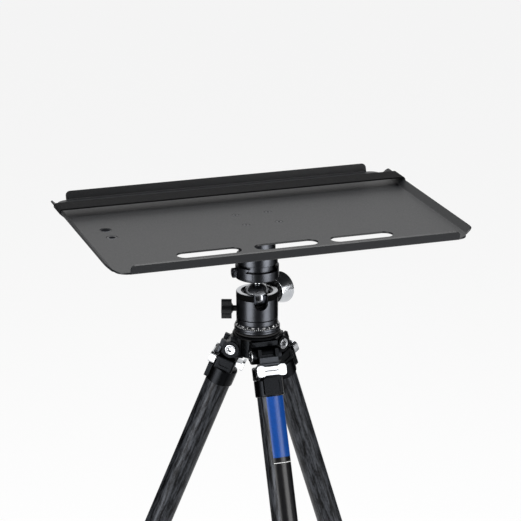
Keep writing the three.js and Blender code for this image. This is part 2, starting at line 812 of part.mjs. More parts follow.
// Main lock knob: a ribbed dial, then a fluted cone with a dished end
function mainKnob() {
  const start = housingRadius + seatGap;
  const dialStart = start + mainKnobNeckLength;
  const bodyStart = dialStart + mainDialLength;
  const bodyEnd = bodyStart + mainKnobLength;
  const edge = mainKnobFluteDepth;
  const profile = [
    [0, mainKnobShaftStart],
    [mainKnobShaftRadius, mainKnobShaftStart],
    [mainKnobShaftRadius, start],
    [mainKnobNeckRadius, start],
    [mainKnobNeckRadius, bodyStart],
    [mainKnobInnerRadius - edge, bodyStart],
    [mainKnobInnerRadius, bodyStart + edge],
    [mainKnobOuterRadius, bodyEnd - edge],
    [mainKnobOuterRadius - edge, bodyEnd],
    [mainKnobDishRadius, bodyEnd],
    [mainKnobDishRadius - edge, bodyEnd - mainKnobDishDepth],
    [0, bodyEnd - mainKnobDishDepth],
  ];
  const middle = (mainKnobInnerRadius + mainKnobOuterRadius) / 2;
  const fluteLean = Math.atan2(mainKnobOuterRadius - mainKnobInnerRadius, mainKnobLength);
  const fluteAxis = middle + mainKnobFluteRadius - mainKnobFluteDepth;
  const flutes = [];
  for (let i = 0; i < mainKnobFlutes; i += 1) {
    const flute = rod(mainKnobFluteRadius, -mainKnobLength / 2 - edge, mainKnobLength, 6);
    flute.rotateY(fluteLean).translate(fluteAxis, 0, (bodyStart + bodyEnd) / 2);
    flutes.push(flute.rotateZ(i * (2 * Math.PI / mainKnobFlutes)));
  }
  const dialOutline = [];
  for (let i = 0; i < 2 * mainDialRibs; i += 1) {
    const reach = mainDialRadius - mainDialRibDepth * (i % 2);
    const angle = i * (Math.PI / mainDialRibs);
    dialOutline.push(new THREE.Vector2(reach * Math.cos(angle), reach * Math.sin(angle)));
  }
  const dial = prism(new THREE.Shape(dialOutline), dialStart, bodyStart);
  return geometryOf(cut(solidOf(turned(profile, 20)), ...flutes).add(solidOf(dial)));
}

const mainKnobShape = laidOutwards(mainKnob(), mainKnobAzimuth, ballHeight - mainKnobBelowBall);
piece('main_knob', mainKnobShape, silverAlloy, head);

// Panning lock knob: a small star grip
function panKnob() {
  const gripStart = housingRadius + seatGap + panKnobNeckLength;
  const shaft = rod(panKnobShaftRadius, panKnobShaftStart, gripStart + cutOverrun, smallFacets);
  const outline = lobedOutline(panKnobRadius, panKnobLobes, panKnobLobeShare, 6 * panKnobLobes);
  const inner = lobedOutline(panKnobRadius - panKnobEdge, panKnobLobes, panKnobLobeShare, 6 * panKnobLobes);
  const grip = prism(outline, gripStart + panKnobEdge, gripStart + panKnobLength - panKnobEdge);
  const core = prism(inner, gripStart, gripStart + panKnobLength);
  return geometryOf(joined(shaft, grip, core));
}

const panKnobShape = laidOutwards(panKnob(), panKnobAzimuth, ballHeight - panKnobBelowBall);
piece('pan_knob', panKnobShape, blackPlastic, head);

// Panning base, top plate and stud
const panBaseProfile = [
  [0, panCollarTop + panSpigotFloor],
  [cupBoreRadius, panCollarTop + panSpigotFloor],
  [cupBoreRadius, panCollarTop + panSpigotHeight],
  [panSpigotRadius, panCollarTop + panSpigotHeight],
  [panSpigotRadius, panCollarTop],
  [panCollarRadius, panCollarTop],
  [panCollarRadius, panRingTop],
  [panRingRadius, panRingTop - panScaleDrop],
  [panRingRadius, panBaseBottom],
  [studRadius + seatGap, panBaseBottom],
  [studRadius + seatGap, panBaseBottom + studReachInBase + seatGap],
  [0, panBaseBottom + studReachInBase + seatGap],
];
piece('pan_base', turned(panBaseProfile), anodisedBlack, head);

const topPlateTop = topPlateBottom + topPlateThickness;
const topPlate = ring(studRadius + seatGap, topPlateRadius, topPlateBottom, topPlateTop);
piece('top_plate', topPlate, gripRubber, head);

const studHeadBottom = -hubBottomBelowHinge + seatGap;
const studHeadTop = studHeadBottom + studHeadHeight;
const studProfile = [
  [0, studHeadBottom],
  [studHeadRadius, studHeadBottom],
  [studHeadRadius, studHeadTop],
  [studRadius, studHeadTop],
  [studRadius, panBaseBottom + studReachInBase],
  [0, panBaseBottom + studReachInBase],
];
const studSocket = hexagon(studSocketRadius, studHeadBottom - cutOverrun, studHeadBottom + studSocketDepth);
piece('head_stud', cut(solidOf(turned(studProfile, 16)), studSocket), brightSteel, head);

// Leg directions: a piece drawn with its leg pointing down -Z, hinge on Y through the origin,
// outer face towards +X
function inHubFrame(geometry, azimuth) {
  return geometry.translate(hingeRadius, 0, 0).rotateZ(azimuth);
}

const hingePin = (radius, from, to, facets) => rod(radius, from, to, facets).rotateX(Math.PI / 2);

// Pivot bolt heads stand in counterbores of the ears, a little proud of their faces
const pivotHeadStart = earOuterHalf + pivotHeadProud - pivotHeadHeight;

// Hub: core, flange and three pairs of ears with stop cams for the angle tabs
function hub() {
  const flangeBottom = hubTopAboveHinge - hubFlangeThickness;
  const core = rod(hubCoreRadius, -hubBottomBelowHinge, flangeBottom + cutOverrun, tubeFacets);
  const flange = turned([
    [0, flangeBottom],
    [hubFlangeRadius - hubFlangeThickness / 2, flangeBottom],
    [hubFlangeRadius, hubTopAboveHinge - hubFlangeThickness / 2],
    [hubFlangeRadius - hubFlangeThickness / 3, hubTopAboveHinge],
    [0, hubTopAboveHinge],
  ], tubeFacets);
  const armOutline = new THREE.Shape();
  armOutline.moveTo(-hingeRadius / 2, -earRadius);
  armOutline.lineTo(0, -earRadius);
  armOutline.absarc(0, 0, earRadius, -Math.PI / 2, Math.PI / 2);
  armOutline.lineTo(0, flangeBottom + cutOverrun);
  armOutline.lineTo(-hingeRadius / 2, flangeBottom + cutOverrun);
  const arms = legAzimuths.map((azimuth) => {
    const arm = prism(armOutline, -earOuterHalf, earOuterHalf, 8).rotateX(Math.PI / 2);
    return inHubFrame(arm, azimuth);
  });
  const cams = legAzimuths.map((azimuth) => {
    const camZ = [-tabNoseStart + runningGap, camLength - tabNoseStart];
    const cam = block([0, earRadius + camReach], [-camOuterHalf, camOuterHalf], camZ);
    return inHubFrame(cam.rotateY(-legSpread), azimuth);
  });
  const tools = legAzimuths.flatMap((azimuth) => {
    const gap = lugHalf + runningGap;
    const swingRadius = lugRadius + runningGap + seatGap;
    const swing = hingePin(swingRadius, -gap, gap, 16);
    const reach = 2 * hingeRadius;
    const mouth = block([0, reach], [-gap, gap], [-reach, earRadius + camReach]);
    const under = block([-swingRadius, reach], [-gap, gap], [-reach, 0]);
    const outside = earOuterHalf + cutOverrun;
    const bore = hingePin(pivotBoltRadius + seatGap, -outside, outside, smallFacets);
    const headSeats = [-1, 1].map((side) => {
      const near = side * (pivotHeadStart - seatGap);
      const far = side * outside;
      return hingePin(pivotHeadRadius + seatGap, Math.min(near, far), Math.max(near, far), smallFacets);
    });
    return [swing, mouth, under, bore, ...headSeats].map((part) => inHubFrame(part, azimuth));
  });
  const studHole = rod(studRadius + seatGap, -2 * hubBottomBelowHinge, hubTopAboveHinge + cutOverrun, 16);
  const studSeat = rod(studHeadRadius + seatGap, -2 * hubBottomBelowHinge, studHeadTop + seatGap, 16);
  return cut(joined(core, flange, ...arms, ...cams), ...tools, studHole, studSeat);
}

piece('tripod_hub', hub(), castBlack, head);

// One leg: shoulder, pivot bolt, angle tab, three tubes, two twist locks and a foot
function legShoulder() {
  const lug = hingePin(lugRadius, -lugHalf, lugHalf, 16);
  const neckJoin = block([-lugRadius + runningGap, lugRadius], [-lugHalf, lugHalf], [-collarStart, 0]);
  const neckZ = [-collarStart - cutOverrun, -neckStart];
  const neck = block([-neckHalfDepth, neckHalfDepth], [-neckHalfWidth, neckHalfWidth], neckZ);
  const collar = turned([
    [0, -collarEnd],
    [collarRadius - collarChamfer, -collarEnd],
    [collarRadius, -collarEnd + collarChamfer],
    [collarRadius, -collarStart - collarChamfer],
    [neckHalfWidth, -collarStart + collarChamfer],
    [0, -collarStart + collarChamfer],
  ], tubeFacets);
  const padEnd = collarEnd - 2 * collarChamfer;
  const pad = block([0, padReach], [-padHalfWidth, padHalfWidth], [-padEnd, -padStart]);
  const recessX = [padReach - padRecessDepth, padReach + cutOverrun];
  const recessY = padHalfWidth - padRecessMargin;
  const recessZ = [-padEnd + padRecessMargin, -padStart - padRecessMargin];
  const recess = block(recessX, [-recessY, recessY], recessZ);
  const tubeSeat = rod(upperTubeRadius + seatGap, -collarEnd - cutOverrun, -tubeStart + seatGap, tubeFacets);
  const boreHalf = lugHalf + cutOverrun;
  const bore = hingePin(pivotBoltRadius + runningGap, -boreHalf, boreHalf, smallFacets);
  const tabHoleX = 2 * neckHalfDepth;
  const tabHoleY = tabBarHalf + runningGap;
  const tabHoleZ = [-tabBarEnd - runningGap, -tabBarStart + runningGap];
  const tabHole = block([-tabHoleX, tabHoleX], [-tabHoleY, tabHoleY], tabHoleZ);
  return cut(joined(lug, neckJoin, neck, collar, pad), recess, tubeSeat, bore, tabHole);
}

// The tab slides outwards along +X; its nose stands under the hub's cams
function angleTab() {
  const inner = neckHalfDepth + seatGap;
  const faceShape = new THREE.Shape();
  const wide = tabHalfWidth;
  const narrow = tabHalfWidth - tabEndChamfer;
  faceShape.moveTo(-narrow, -tabPlateEnd);
  faceShape.lineTo(narrow, -tabPlateEnd);
  faceShape.lineTo(wide, -tabPlateEnd + tabEndChamfer);
  faceShape.lineTo(wide, -tabPlateStart - tabEndChamfer);
  faceShape.lineTo(narrow, -tabPlateStart);
  faceShape.lineTo(-narrow, -tabPlateStart);
  faceShape.lineTo(-wide, -tabPlateStart - tabEndChamfer);
  faceShape.lineTo(-wide, -tabPlateEnd + tabEndChamfer);
  const plate = prism(faceShape, inner, tabPlateReach).rotateX(Math.PI / 2).rotateZ(Math.PI / 2);
  const hollowY = neckHalfWidth + seatGap;
  const hollowEnd = tabPlateReach - tabPlateThickness;
  const hollowZ = [-tabPlateEnd - cutOverrun, -tabPlateStart + cutOverrun];
  const hollow = block([0, hollowEnd], [-hollowY, hollowY], hollowZ);
  const noseNear = earRadius + 2 * seatGap;
  const noseFar = earRadius + seatGap + tabNoseThickness;
  const noseY = [-tabNoseHalf, tabNoseHalf];
  const nose = block([noseNear, noseFar], noseY, [-tabPlateStart, -tabNoseStart]);
  const bridgeTop = -tabPlateStart + tabNoseThickness / 2;
  const bridge = block([noseNear, tabPlateReach], noseY, [-tabPlateStart - seatGap, bridgeTop]);
  const backFace = -neckHalfDepth - tabTravel - seatGap;
  const barStart = backFace - tabBackThickness / 2;
  const barX = [barStart, tabPlateReach - cutOverrun];
  const bar = block(barX, [-tabBarHalf, tabBarHalf], [-tabBarEnd, -tabBarStart]);
  const backX = [backFace - tabBackThickness, backFace];
  const back = block(backX, [-tabBackHalf, tabBackHalf], [-tabBackEnd, -tabBackStart]);
  const grooveX = [tabPlateReach - tabGroove, tabPlateReach + cutOverrun];
  const grooveZ = -(tabPlateStart + tabPlateEnd) / 2;
  const grooveY = [-tabHalfWidth / 2, tabHalfWidth / 2];
  const groove = block(grooveX, grooveY, [grooveZ - tabGroove, grooveZ + tabGroove]);
  const shell = cut(solidOf(plate), hollow);
  return cut(shell.add(joined(nose, bridge, bar, back)), groove);
}

function pivotBolt() {
  const shankEnd = pivotHeadStart + pivotHeadHeight / 2;
  const shank = hingePin(pivotBoltRadius, -shankEnd, shankEnd, smallFacets);
  const heads = [-1, 1].map((side) => {
    const near = side * pivotHeadStart;
    const far = side * (pivotHeadStart + pivotHeadHeight);
    return hingePin(pivotHeadRadius, Math.min(near, far), Math.max(near, far), smallFacets);
  });
  const sockets = [-1, 1].map((side) => {
    const near = side * (pivotHeadStart + pivotHeadHeight - pivotSocketDepth);
    const far = side * (pivotHeadStart + pivotHeadHeight + cutOverrun);
    return hexagon(pivotSocketRadius, Math.min(near, far), Math.max(near, far)).rotateX(Math.PI / 2);
  });
  return cut(joined(shank, ...heads), ...sockets);
}

// Twist lock: a ribbed sleeve, wide over the outer tube and drawn in to the inner one
function twistLock(outerRadius, innerRadius) {
  const wide = outerRadius + lockWall;
  const narrow = innerRadius + lockWall - lockTaper / 2;
  const gripEnd = lockLength * lockGripShare;
  const ribPitch = gripEnd / (lockRibCount + 1);
  const outline = [[wide - lockTaper, 0], [wide, lockTaper]];
  for (let i = 1; i <= lockRibCount; i += 1) {
    const at = i * ribPitch;
    outline.push([wide, at - lockRibDepth], [wide - lockRibDepth, at], [wide, at + lockRibDepth]);
  }
  outline.push([wide, gripEnd], [narrow, lockLength - lockTaper], [narrow - lockTaper / 2, lockLength]);
  const step = lockOverlap + seatGap;
  const profile = [
    [outerRadius + seatGap, 0],
    ...outline,
    [innerRadius + seatGap, lockLength],
    [innerRadius + seatGap, step],
    [outerRadius + seatGap, step],
    [outerRadius + seatGap, 0],
  ];
  return turned(profile.map(([radius, along]) => [radius, -along]), 16);
}

function footTip() {
  const socket = lowerTubeRadius + seatGap;
  const rimRadius = socket + footSocketWall;
  const top = -lowerTubeEnd + footInsertion;
  const arcTop = footBallRadius * footCrownShare;
  const arc = [];
  const steps = 4;
  const crown = Math.asin(arcTop / footBallRadius);
  for (let i = 0; i <= steps; i += 1) {
    const angle = crown - (Math.PI / 2 + crown) * (i / steps);
    const radius = i === steps ? 0 : footBallRadius * Math.cos(angle);
    arc.push([radius, -footCentre + footBallRadius * Math.sin(angle)]);
  }
  const profile = [
    [0, -lowerTubeEnd - seatGap],
    [socket, -lowerTubeEnd - seatGap],
    [socket, top],
    [rimRadius, top],
    [rimRadius, -footCentre + footSocketLength / 2],
    ...arc,
  ];
  return turned(profile, 18);
}

function tube(radius, start, length) {
  return ring(radius - tubeWall, radius, -start - length, -start, tubeFacets);
}

legAzimuths.forEach((azimuth, i) => {
  const side = legNames[i];
  const turn = new THREE.Group();
  const hinge = new THREE.Group();
  turn.rotation.z = azimuth;
  hinge.position.x = hingeRadius;
  turn.add(hinge);
  head.add(turn);
  piece(`pivot_bolt_${side}`, pivotBolt(), brightSteel, hinge);
  const leg = new THREE.Group();
  leg.rotation.y = -legSpread;
  hinge.add(leg);
  piece(`leg_shoulder_${side}`, legShoulder(), castBlack, leg);
  piece(`angle_tab_${side}`, angleTab(), silverAlloy, leg);
  piece(`upper_tube_${side}`, tube(upperTubeRadius, tubeStart, upperTubeLength), carbonTube, leg);
  const firstLock = twistLock(upperTubeRadius, middleTubeRadius);
  piece(`upper_lock_${side}`, firstLock, gripRubber, leg).position.z = -firstLockStart;
  piece(`middle_tube_${side}`, tube(middleTubeRadius, middleTubeStart, middleTubeLength), carbonTube, leg);
  const secondLock = twistLock(middleTubeRadius, lowerTubeRadius);
  piece(`lower_lock_${side}`, secondLock, gripRubber, leg).position.z = -secondLockStart;
  piece(`lower_tube_${side}`, tube(lowerTubeRadius, lowerTubeStart, lowerTubeLength), carbonTube, leg);
  piece(`foot_${side}`, footTip(), gripRubber, leg);
});

// Stand the table on the floor, with the middle of its bounding box over the origin
table.updateMatrixWorld(true);
const bounds = new THREE.Box3().setFromObject(table);
const middle = bounds.getCenter(new THREE.Vector3());
table.position.set(-middle.x, -middle.y, -bounds.min.z);
table.updateMatrixWorld(true);

export default table;
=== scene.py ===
"""Tethering table: a sheet-metal laptop tray on a ball head and a folding carbon tripod."""
import json
import math

import bpy
from mathutils import Matrix, Vector

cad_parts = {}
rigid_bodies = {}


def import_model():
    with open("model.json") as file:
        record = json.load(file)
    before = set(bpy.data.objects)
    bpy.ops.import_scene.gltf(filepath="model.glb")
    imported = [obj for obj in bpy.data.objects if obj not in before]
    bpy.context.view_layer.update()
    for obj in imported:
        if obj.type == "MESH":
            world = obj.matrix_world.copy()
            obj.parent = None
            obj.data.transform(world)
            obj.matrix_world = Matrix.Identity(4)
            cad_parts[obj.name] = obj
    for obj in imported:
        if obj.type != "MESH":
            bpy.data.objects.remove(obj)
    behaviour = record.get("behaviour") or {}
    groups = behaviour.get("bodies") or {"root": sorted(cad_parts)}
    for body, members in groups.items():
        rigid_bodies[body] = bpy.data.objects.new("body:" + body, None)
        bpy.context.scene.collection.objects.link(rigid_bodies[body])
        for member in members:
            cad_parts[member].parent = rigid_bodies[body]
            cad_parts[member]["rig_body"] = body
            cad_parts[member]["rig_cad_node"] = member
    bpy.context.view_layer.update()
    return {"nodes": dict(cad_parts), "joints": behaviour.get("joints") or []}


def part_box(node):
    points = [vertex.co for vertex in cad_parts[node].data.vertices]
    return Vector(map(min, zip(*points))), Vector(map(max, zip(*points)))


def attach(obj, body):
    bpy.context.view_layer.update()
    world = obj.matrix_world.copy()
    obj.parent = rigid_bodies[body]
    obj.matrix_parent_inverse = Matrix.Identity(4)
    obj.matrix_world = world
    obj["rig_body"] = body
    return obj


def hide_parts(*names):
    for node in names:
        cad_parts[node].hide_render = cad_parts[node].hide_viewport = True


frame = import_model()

bl_info = {
    "name": "Tethering Table",
    "version": (1, 0, 0),
    "blender": (4, 5, 0),
    "location": "3D View > Sidebar > Tethering Table",
    "description": "Builds a laptop tray with its ball head, clamp and folding tripod",
    "category": "Add Mesh",
}

MM = 0.001
JOINTS = {joint["name"]: joint for joint in frame["joints"]}
SIDES = ("left", "front", "right")
UP = Vector((0, 0, 1))
BALL = Vector(JOINTS["ball_tilt_side"]["pos_m"])
TRAY_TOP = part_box("column_screw_1")[1].z
TRAY = Matrix.Translation((BALL.x, BALL.y, TRAY_TOP))
HEAD = Matrix.Translation(BALL)
MADE = {}

# Where things sit on the head: degrees round it, and millimetres above the ball's centre.
MAIN_KNOB = (35, -2.2)
PAN_KNOB = (161, -14.6)
CLAMP_KNOB = (180, 28.6)
NOTCH_AZIMUTH = 263
CLAMP_FLOOR = 21.2
CLAMP_TOP = 36.8

# Sizes that more than one piece follows, in millimetres and degrees.
SIDE_LEAN = math.radians(47)
END_LEAN = math.radians(18)
SCREW_CIRCLE = 26
LOCK_SCREW_DROP = 20
BALL_RADIUS = 15
DOVETAIL_DEPTH = 5
JAW_SCREW_HEIGHT = 7.4
STUD_RADIUS = 5.06
LEG_SPREAD = math.radians(21.8)
TRIM = 0.3
PUNCH = (-6, 4)
BEVEL_ANGLE = math.radians(30)
SMOOTH_ANGLE = math.radians(38)

# How near two points have to be, in metres, to count as one.
NEAR = 1e-6


# Sizes and colours that a user would change
def length(name, description, value):
    """A length property, with its value in millimetres."""
    return bpy.props.FloatProperty(
        name=name, description=description, default=value * MM, unit="LENGTH", precision=4,
    )


def colour(name, description, value):
    """A colour property, as an sRGB hex code."""
    return bpy.props.StringProperty(name=name, description=description, default=value)


class TraySettings(bpy.types.PropertyGroup):
    """Sizes and colours of the tray and its strap"""
    width: length("Width", "Panel width between the side folds", 379.0)
    depth: length("Depth", "Panel depth between the front and back folds", 263.0)
    sheet: length("Sheet", "Thickness of the folded sheet", 2.0)
    lip: length("Lip", "Length of each folded lip", 10.0)
    corner: length("Corner", "Radius of the panel's corners", 13.0)
    slot_length: length("Slot length", "Length of each front slot", 68.7)
    slot_width: length("Slot width", "Width of each front slot", 19.0)
    slot_pitch: length("Slot pitch", "Distance between slot centres", 83.2)
    strap_width: length("Strap width", "Width of the webbing", 25.0)
    strap_thickness: length("Strap thickness", "Thickness of the webbing", 1.6)
    coat: colour("Powder coat", "Colour of the tray, sRGB hex", "#131416")
    webbing: colour("Webbing", "Colour of the strap, sRGB hex", "#0C0D0E")


class HeadSettings(bpy.types.PropertyGroup):
    """Sizes and colours of the column, plate, clamp and ball head"""
    housing: length("Housing radius", "Outer radius of the ball housing", 22.75)
    clamp: length("Clamp radius", "Outer radius of the clamp", 23.7)
    plate: length("Plate radius", "Outer radius of the dovetail plate", 22.4)
    column: length("Column radius", "Outer radius of the mounting column", 20.0)
    anodised: colour("Anodising", "Colour of the head's black anodising, sRGB hex", "#3A3C40")
    silver: colour("Silver anodising", "Colour of the lock knob and tabs, sRGB hex", "#C9CBCE")


class TripodSettings(bpy.types.PropertyGroup):
    """Sizes and colours of the legs"""
    upper: length("Upper tube radius", "Radius of the upper leg tubes", 14.0)
    middle: length("Middle tube radius", "Radius of the middle leg tubes", 12.5)
    lower: length("Lower tube radius", "Radius of the lower leg tubes", 11.0)
    tow: length("Carbon tow", "Width of one woven carbon tow", 4.0)
    band: colour("Band", "Colour of the plain band on the front leg, sRGB hex", "#073A80")


class StageSettings(bpy.types.PropertyGroup):
    """Light and lens of the stage"""
    key: bpy.props.FloatProperty(
        name="Key light", description="Power of the two side lights in watts", default=60.0,
    )
    lens: bpy.props.FloatProperty(
        name="Lens", description="Focal length of the camera in millimetres", default=149.85,
    )


# Modelling helpers, which take millimetres
def deselect():
    """Leaves edit mode and selects nothing."""
    if bpy.context.object and bpy.context.object.mode != "OBJECT":
        bpy.ops.object.mode_set(mode="OBJECT")
    bpy.ops.object.select_all(action="DESELECT")


def activate(obj):
    """Selects one object alone and makes it the active one."""
    deselect()
    obj.select_set(True)
    bpy.context.view_layer.objects.active = obj


def named(name, obj=None):
    """Gives an object and its mesh one name, by default the object just made."""
    obj = obj or bpy.context.object
    obj.name = obj.data.name = name
    return obj


def draw(name, points):
    """A chain of edges through the points, drawn by extruding one vertex, and left open in edit mode."""
    deselect()
    bpy.ops.mesh.primitive_plane_add(size=MM)
    obj = named(name)
    bpy.ops.object.mode_set(mode="EDIT")
    bpy.ops.mesh.merge(type="CENTER")
    here = Vector(points[0]) * MM
    bpy.ops.transform.translate(value=here)
    for point in points[1:]:
        there = Vector(point) * MM
        bpy.ops.mesh.extrude_region_move(TRANSFORM_OT_translate={"value": there - here})
        here = there
    bpy.ops.mesh.select_all(action="SELECT")
    return obj


def turned(name, profile, steps=64):
    """A body turned round Z from a profile of radius and height."""
    obj = draw(name, [(radius, 0, height) for radius, height in profile])
    bpy.ops.mesh.spin(steps=steps, angle=math.tau, center=(0, 0, 0), axis=(0, 0, 1))
    bpy.ops.mesh.select_all(action="SELECT")
    bpy.ops.mesh.remove_doubles(threshold=NEAR)
    bpy.ops.mesh.normals_make_consistent(inside=False)
    bpy.ops.object.mode_set(mode="OBJECT")
    return obj


def prism(name, outline, low, high):
    """A flat outline in X and Y, filled and extruded from low to high."""
    obj = draw(name, [(x, y, low) for x, y in outline])
    bpy.ops.mesh.edge_face_add()
    bpy.ops.mesh.extrude_region_move(TRANSFORM_OT_translate={"value": (0, 0, (high - low) * MM)})
    bpy.ops.mesh.select_all(action="SELECT")
    bpy.ops.mesh.normals_make_consistent(inside=False)
    bpy.ops.object.mode_set(mode="OBJECT")
    return obj


def block(name, low, high):
    """A box between two corners."""
    deselect()
    middle = (Vector(low) + Vector(high)) / 2 * MM
    bpy.ops.mesh.primitive_cube_add(size=1, location=middle, scale=(Vector(high) - Vector(low)) * MM)
    obj = named(name)
    bpy.ops.object.transform_apply()
    return obj


def rod(name, radius, low, high, steps=48):
    """A cylinder on Z from low to high."""
    deselect()
    bpy.ops.mesh.primitive_cylinder_add(
        vertices=steps, radius=radius * MM, depth=(high - low) * MM, location=(0, 0, (low + high) / 2 * MM),
    )
    obj = named(name)
    bpy.ops.object.transform_apply()
    return obj


def moved(obj, matrix):
    """Moves an object by a matrix and applies the move to its mesh."""
    activate(obj)
    obj.matrix_world = matrix @ obj.matrix_world
    bpy.ops.object.transform_apply()
    return obj


def joined(obj, *others):
    """Puts other objects' meshes into the first one's."""
    activate(obj)
    for other in others:
        other.select_set(True)
    bpy.ops.object.join()
    return obj


def modify(obj, kind, **settings):
    """Adds a modifier with its settings and applies it."""
    activate(obj)
    bpy.ops.object.modifier_add(type=kind)
    modifier = obj.modifiers[-1]
    for key, value in settings.items():
        setattr(modifier, key, value)
    bpy.ops.object.modifier_apply(modifier=modifier.name)
    return obj


def combine(obj, operation, *tools):
    """Joins a shape with each tool by one boolean, and uses the tools up."""
    for tool in tools:
        modify(obj, "BOOLEAN", operation=operation, solver="EXACT", object=tool)
        bpy.data.objects.remove(tool)
    return obj


def cut(obj, *tools):
    """Takes each tool's shape away."""
    return combine(obj, "DIFFERENCE", *tools)


def fused(obj, *tools):
    """Adds each tool's shape."""
    return combine(obj, "UNION", *tools)


def soften(obj, width=0.3, segments=2):
    """Rounds every sharp edge by a small bevel, shades the rest smooth and keeps flat faces flat."""
    if width:
        modify(
            obj, "BEVEL", width=width * MM, segments=segments, limit_method="ANGLE",
            angle_limit=BEVEL_ANGLE,
        )
    activate(obj)
    bpy.ops.object.shade_smooth_by_angle(angle=SMOOTH_ANGLE)
    return modify(obj, "WEIGHTED_NORMAL", keep_sharp=True, weight=90)


def face_towards(obj, axis):
    """Turns an open sheet's faces round where most of them look away from the axis."""
    if sum(face.normal.dot(axis) * face.area for face in obj.data.polygons) < 0:
        bpy.ops.object.mode_set(mode="EDIT")
        bpy.ops.mesh.flip_normals()
        bpy.ops.object.mode_set(mode="OBJECT")


def copy_of(node, name):
    """A copy of a CAD node with its loose triangles merged and its flat faces cleaned up."""
    activate(frame["nodes"][node])
    bpy.ops.object.duplicate()
    obj = named(name)
    world = obj.matrix_world.copy()
    obj.parent = None
    obj.matrix_world = world
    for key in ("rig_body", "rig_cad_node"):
        if key in obj:
            del obj[key]
    obj.data.materials.clear()
    bpy.ops.object.mode_set(mode="EDIT")
    bpy.ops.mesh.select_all(action="SELECT")
    bpy.ops.mesh.remove_doubles(threshold=2 * NEAR)
    bpy.ops.mesh.dissolve_limited(angle_limit=math.radians(1))
    bpy.ops.object.mode_set(mode="OBJECT")
    return obj


def fit(obj, body, slot, finish, *nodes):
    """Gives a finished piece its material and body, and hides the CAD nodes that it stands for."""
    obj.data.materials.clear()
    obj.data.materials.append(finish)
    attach(obj, body)
    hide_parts(*nodes)
    return obj


def facing(azimuth, height=0.0):
    """A place on the head's axis, above the ball's centre: X across, Y up and Z outwards."""
    turn = math.radians(azimuth)
    out = Vector((math.cos(turn), math.sin(turn), 0))
    axes = Matrix((UP.cross(out), UP, out)).transposed().to_4x4()
    return Matrix.Translation(BALL + UP * height * MM) @ axes


def arc(radius, start, end, steps, centre=(0, 0)):
    """Points on an arc, from one angle to another in degrees."""
    turns = [math.radians(start + (end - start) * i / steps) for i in range(steps + 1)]
    return [(centre[0] + radius * math.cos(t), centre[1] + radius * math.sin(t)) for t in turns]


def lobed(radius, lobes, share, steps):
    """A wavy outline with so many lobes, as deep as the share of its radius."""
    points = []
    for i in range(steps):
        turn = math.tau * i / steps
        reach = radius * (1 - share / 2 + share / 2 * math.cos(lobes * turn))
        points.append((reach * math.cos(turn), reach * math.sin(turn)))
    return points


def rounded(width, height, radius, centre=(0, 0), steps=5):
    """A rectangle's outline with round corners."""
    x, y = width / 2 - radius, height / 2 - radius
    points = []
    for i, (sx, sy) in enumerate(((1, 1), (-1, 1), (-1, -1), (1, -1))):
        points += arc(radius, 90 * i, 90 * i + 90, steps, (centre[0] + sx * x, centre[1] + sy * y))
    return points


def upright(obj):
    """Turns a shape drawn in X and Y so that its Y points up and it was extruded along -Y."""
    return moved(obj, Matrix.Rotation(math.radians(90), 4, "X"))


def outward(obj):
    """Turns a shape drawn in X and Y so that its X runs along Y, its Y is up and it was extruded along X."""
    return moved(obj, Matrix(((0, 0, 1, 0), (1, 0, 0, 0), (0, 1, 0, 0), (0, 0, 0, 1))))


def crosswise(obj):
    """Lays a shape that stands along Z down along Y."""
    return moved(obj, Matrix.Rotation(math.radians(-90), 4, "X"))


def repeated(obj, count):
    """Copies a shape round Z inside its own mesh."""
    activate(obj)
    bpy.ops.object.mode_set(mode="EDIT")
    bpy.ops.mesh.select_all(action="SELECT")
    turn = math.tau * (count - 1) / count
    bpy.ops.mesh.spin(steps=count - 1, dupli=True, angle=turn, center=(0, 0, 0), axis=(0, 0, 1))
    bpy.ops.object.mode_set(mode="OBJECT")
    return obj


def leg_frame(side):
    """A leg's own directions: hinge at the origin along Y, leg down -Z, outer face towards +X."""
    fold = JOINTS[f"leg_fold_{side}"]
    up = -Vector(JOINTS[f"middle_slide_{side}"]["axis"])
    across = -Vector(fold["axis"])
    out = across.cross(up)
    turn = Matrix((out, across, up)).transposed().to_4x4()
    return Matrix.Translation(fold["pos_m"]) @ turn


def wrap_layer(mesh):
    """The UV layer that the woven finishes read."""
    layer = mesh.uv_layers[0] if mesh.uv_layers else mesh.uv_layers.new(name="wrap")
    layer.name = "wrap"
    return layer


def wrap(obj):
    """Lays UV in metres round the Z axis: U along the circumference, V along the length."""
    mesh = obj.data
    layer = wrap_layer(mesh)
    radius = max(math.hypot(v.co.x, v.co.y) for v in mesh.vertices)
    for face in mesh.polygons:
        middle = math.atan2(face.center.y, face.center.x)
        for loop in face.loop_indices:
            point = mesh.vertices[mesh.loops[loop].vertex_index].co
            angle = math.atan2(point.y, point.x)
            angle += math.tau * round((middle - angle) / math.tau)
            layer.data[loop].uv = (angle * radius, point.z)
    return obj


# Materials
def linear(code):
    """An sRGB hex colour as linear RGBA."""
    parts = [int(code[i:i + 2], 16) / 255 for i in (1, 3, 5)]
    return [p / 12.92 if p <= 0.04045 else ((p + 0.055) / 1.055) ** 2.4 for p in parts] + [1.0]


def add(tree, kind, settings=(), links=()):
    """Adds one node with its settings and links."""
    node = tree.nodes.new(kind)
    for key, value in dict(settings).items():
        if isinstance(key, str) and hasattr(node, key):
            setattr(node, key, value)
        else:
            node.inputs[key].default_value = value
    for key, source in dict(links).items():
        tree.links.new(source, node.inputs[key])
    return node


def start_material(name):
    """A new material and its empty node tree."""
    material = bpy.data.materials.new(name)
    material.use_nodes = True
    tree = material.node_tree
    tree.nodes.clear()
    return material, tree


def close_material(tree, settings, links):
    """Ends a finish with its surface shader and its output."""
    surface = add(tree, "ShaderNodeBsdfPrincipled", settings, links)
    add(tree, "ShaderNodeOutputMaterial", (), {"Surface": surface.outputs[0]})


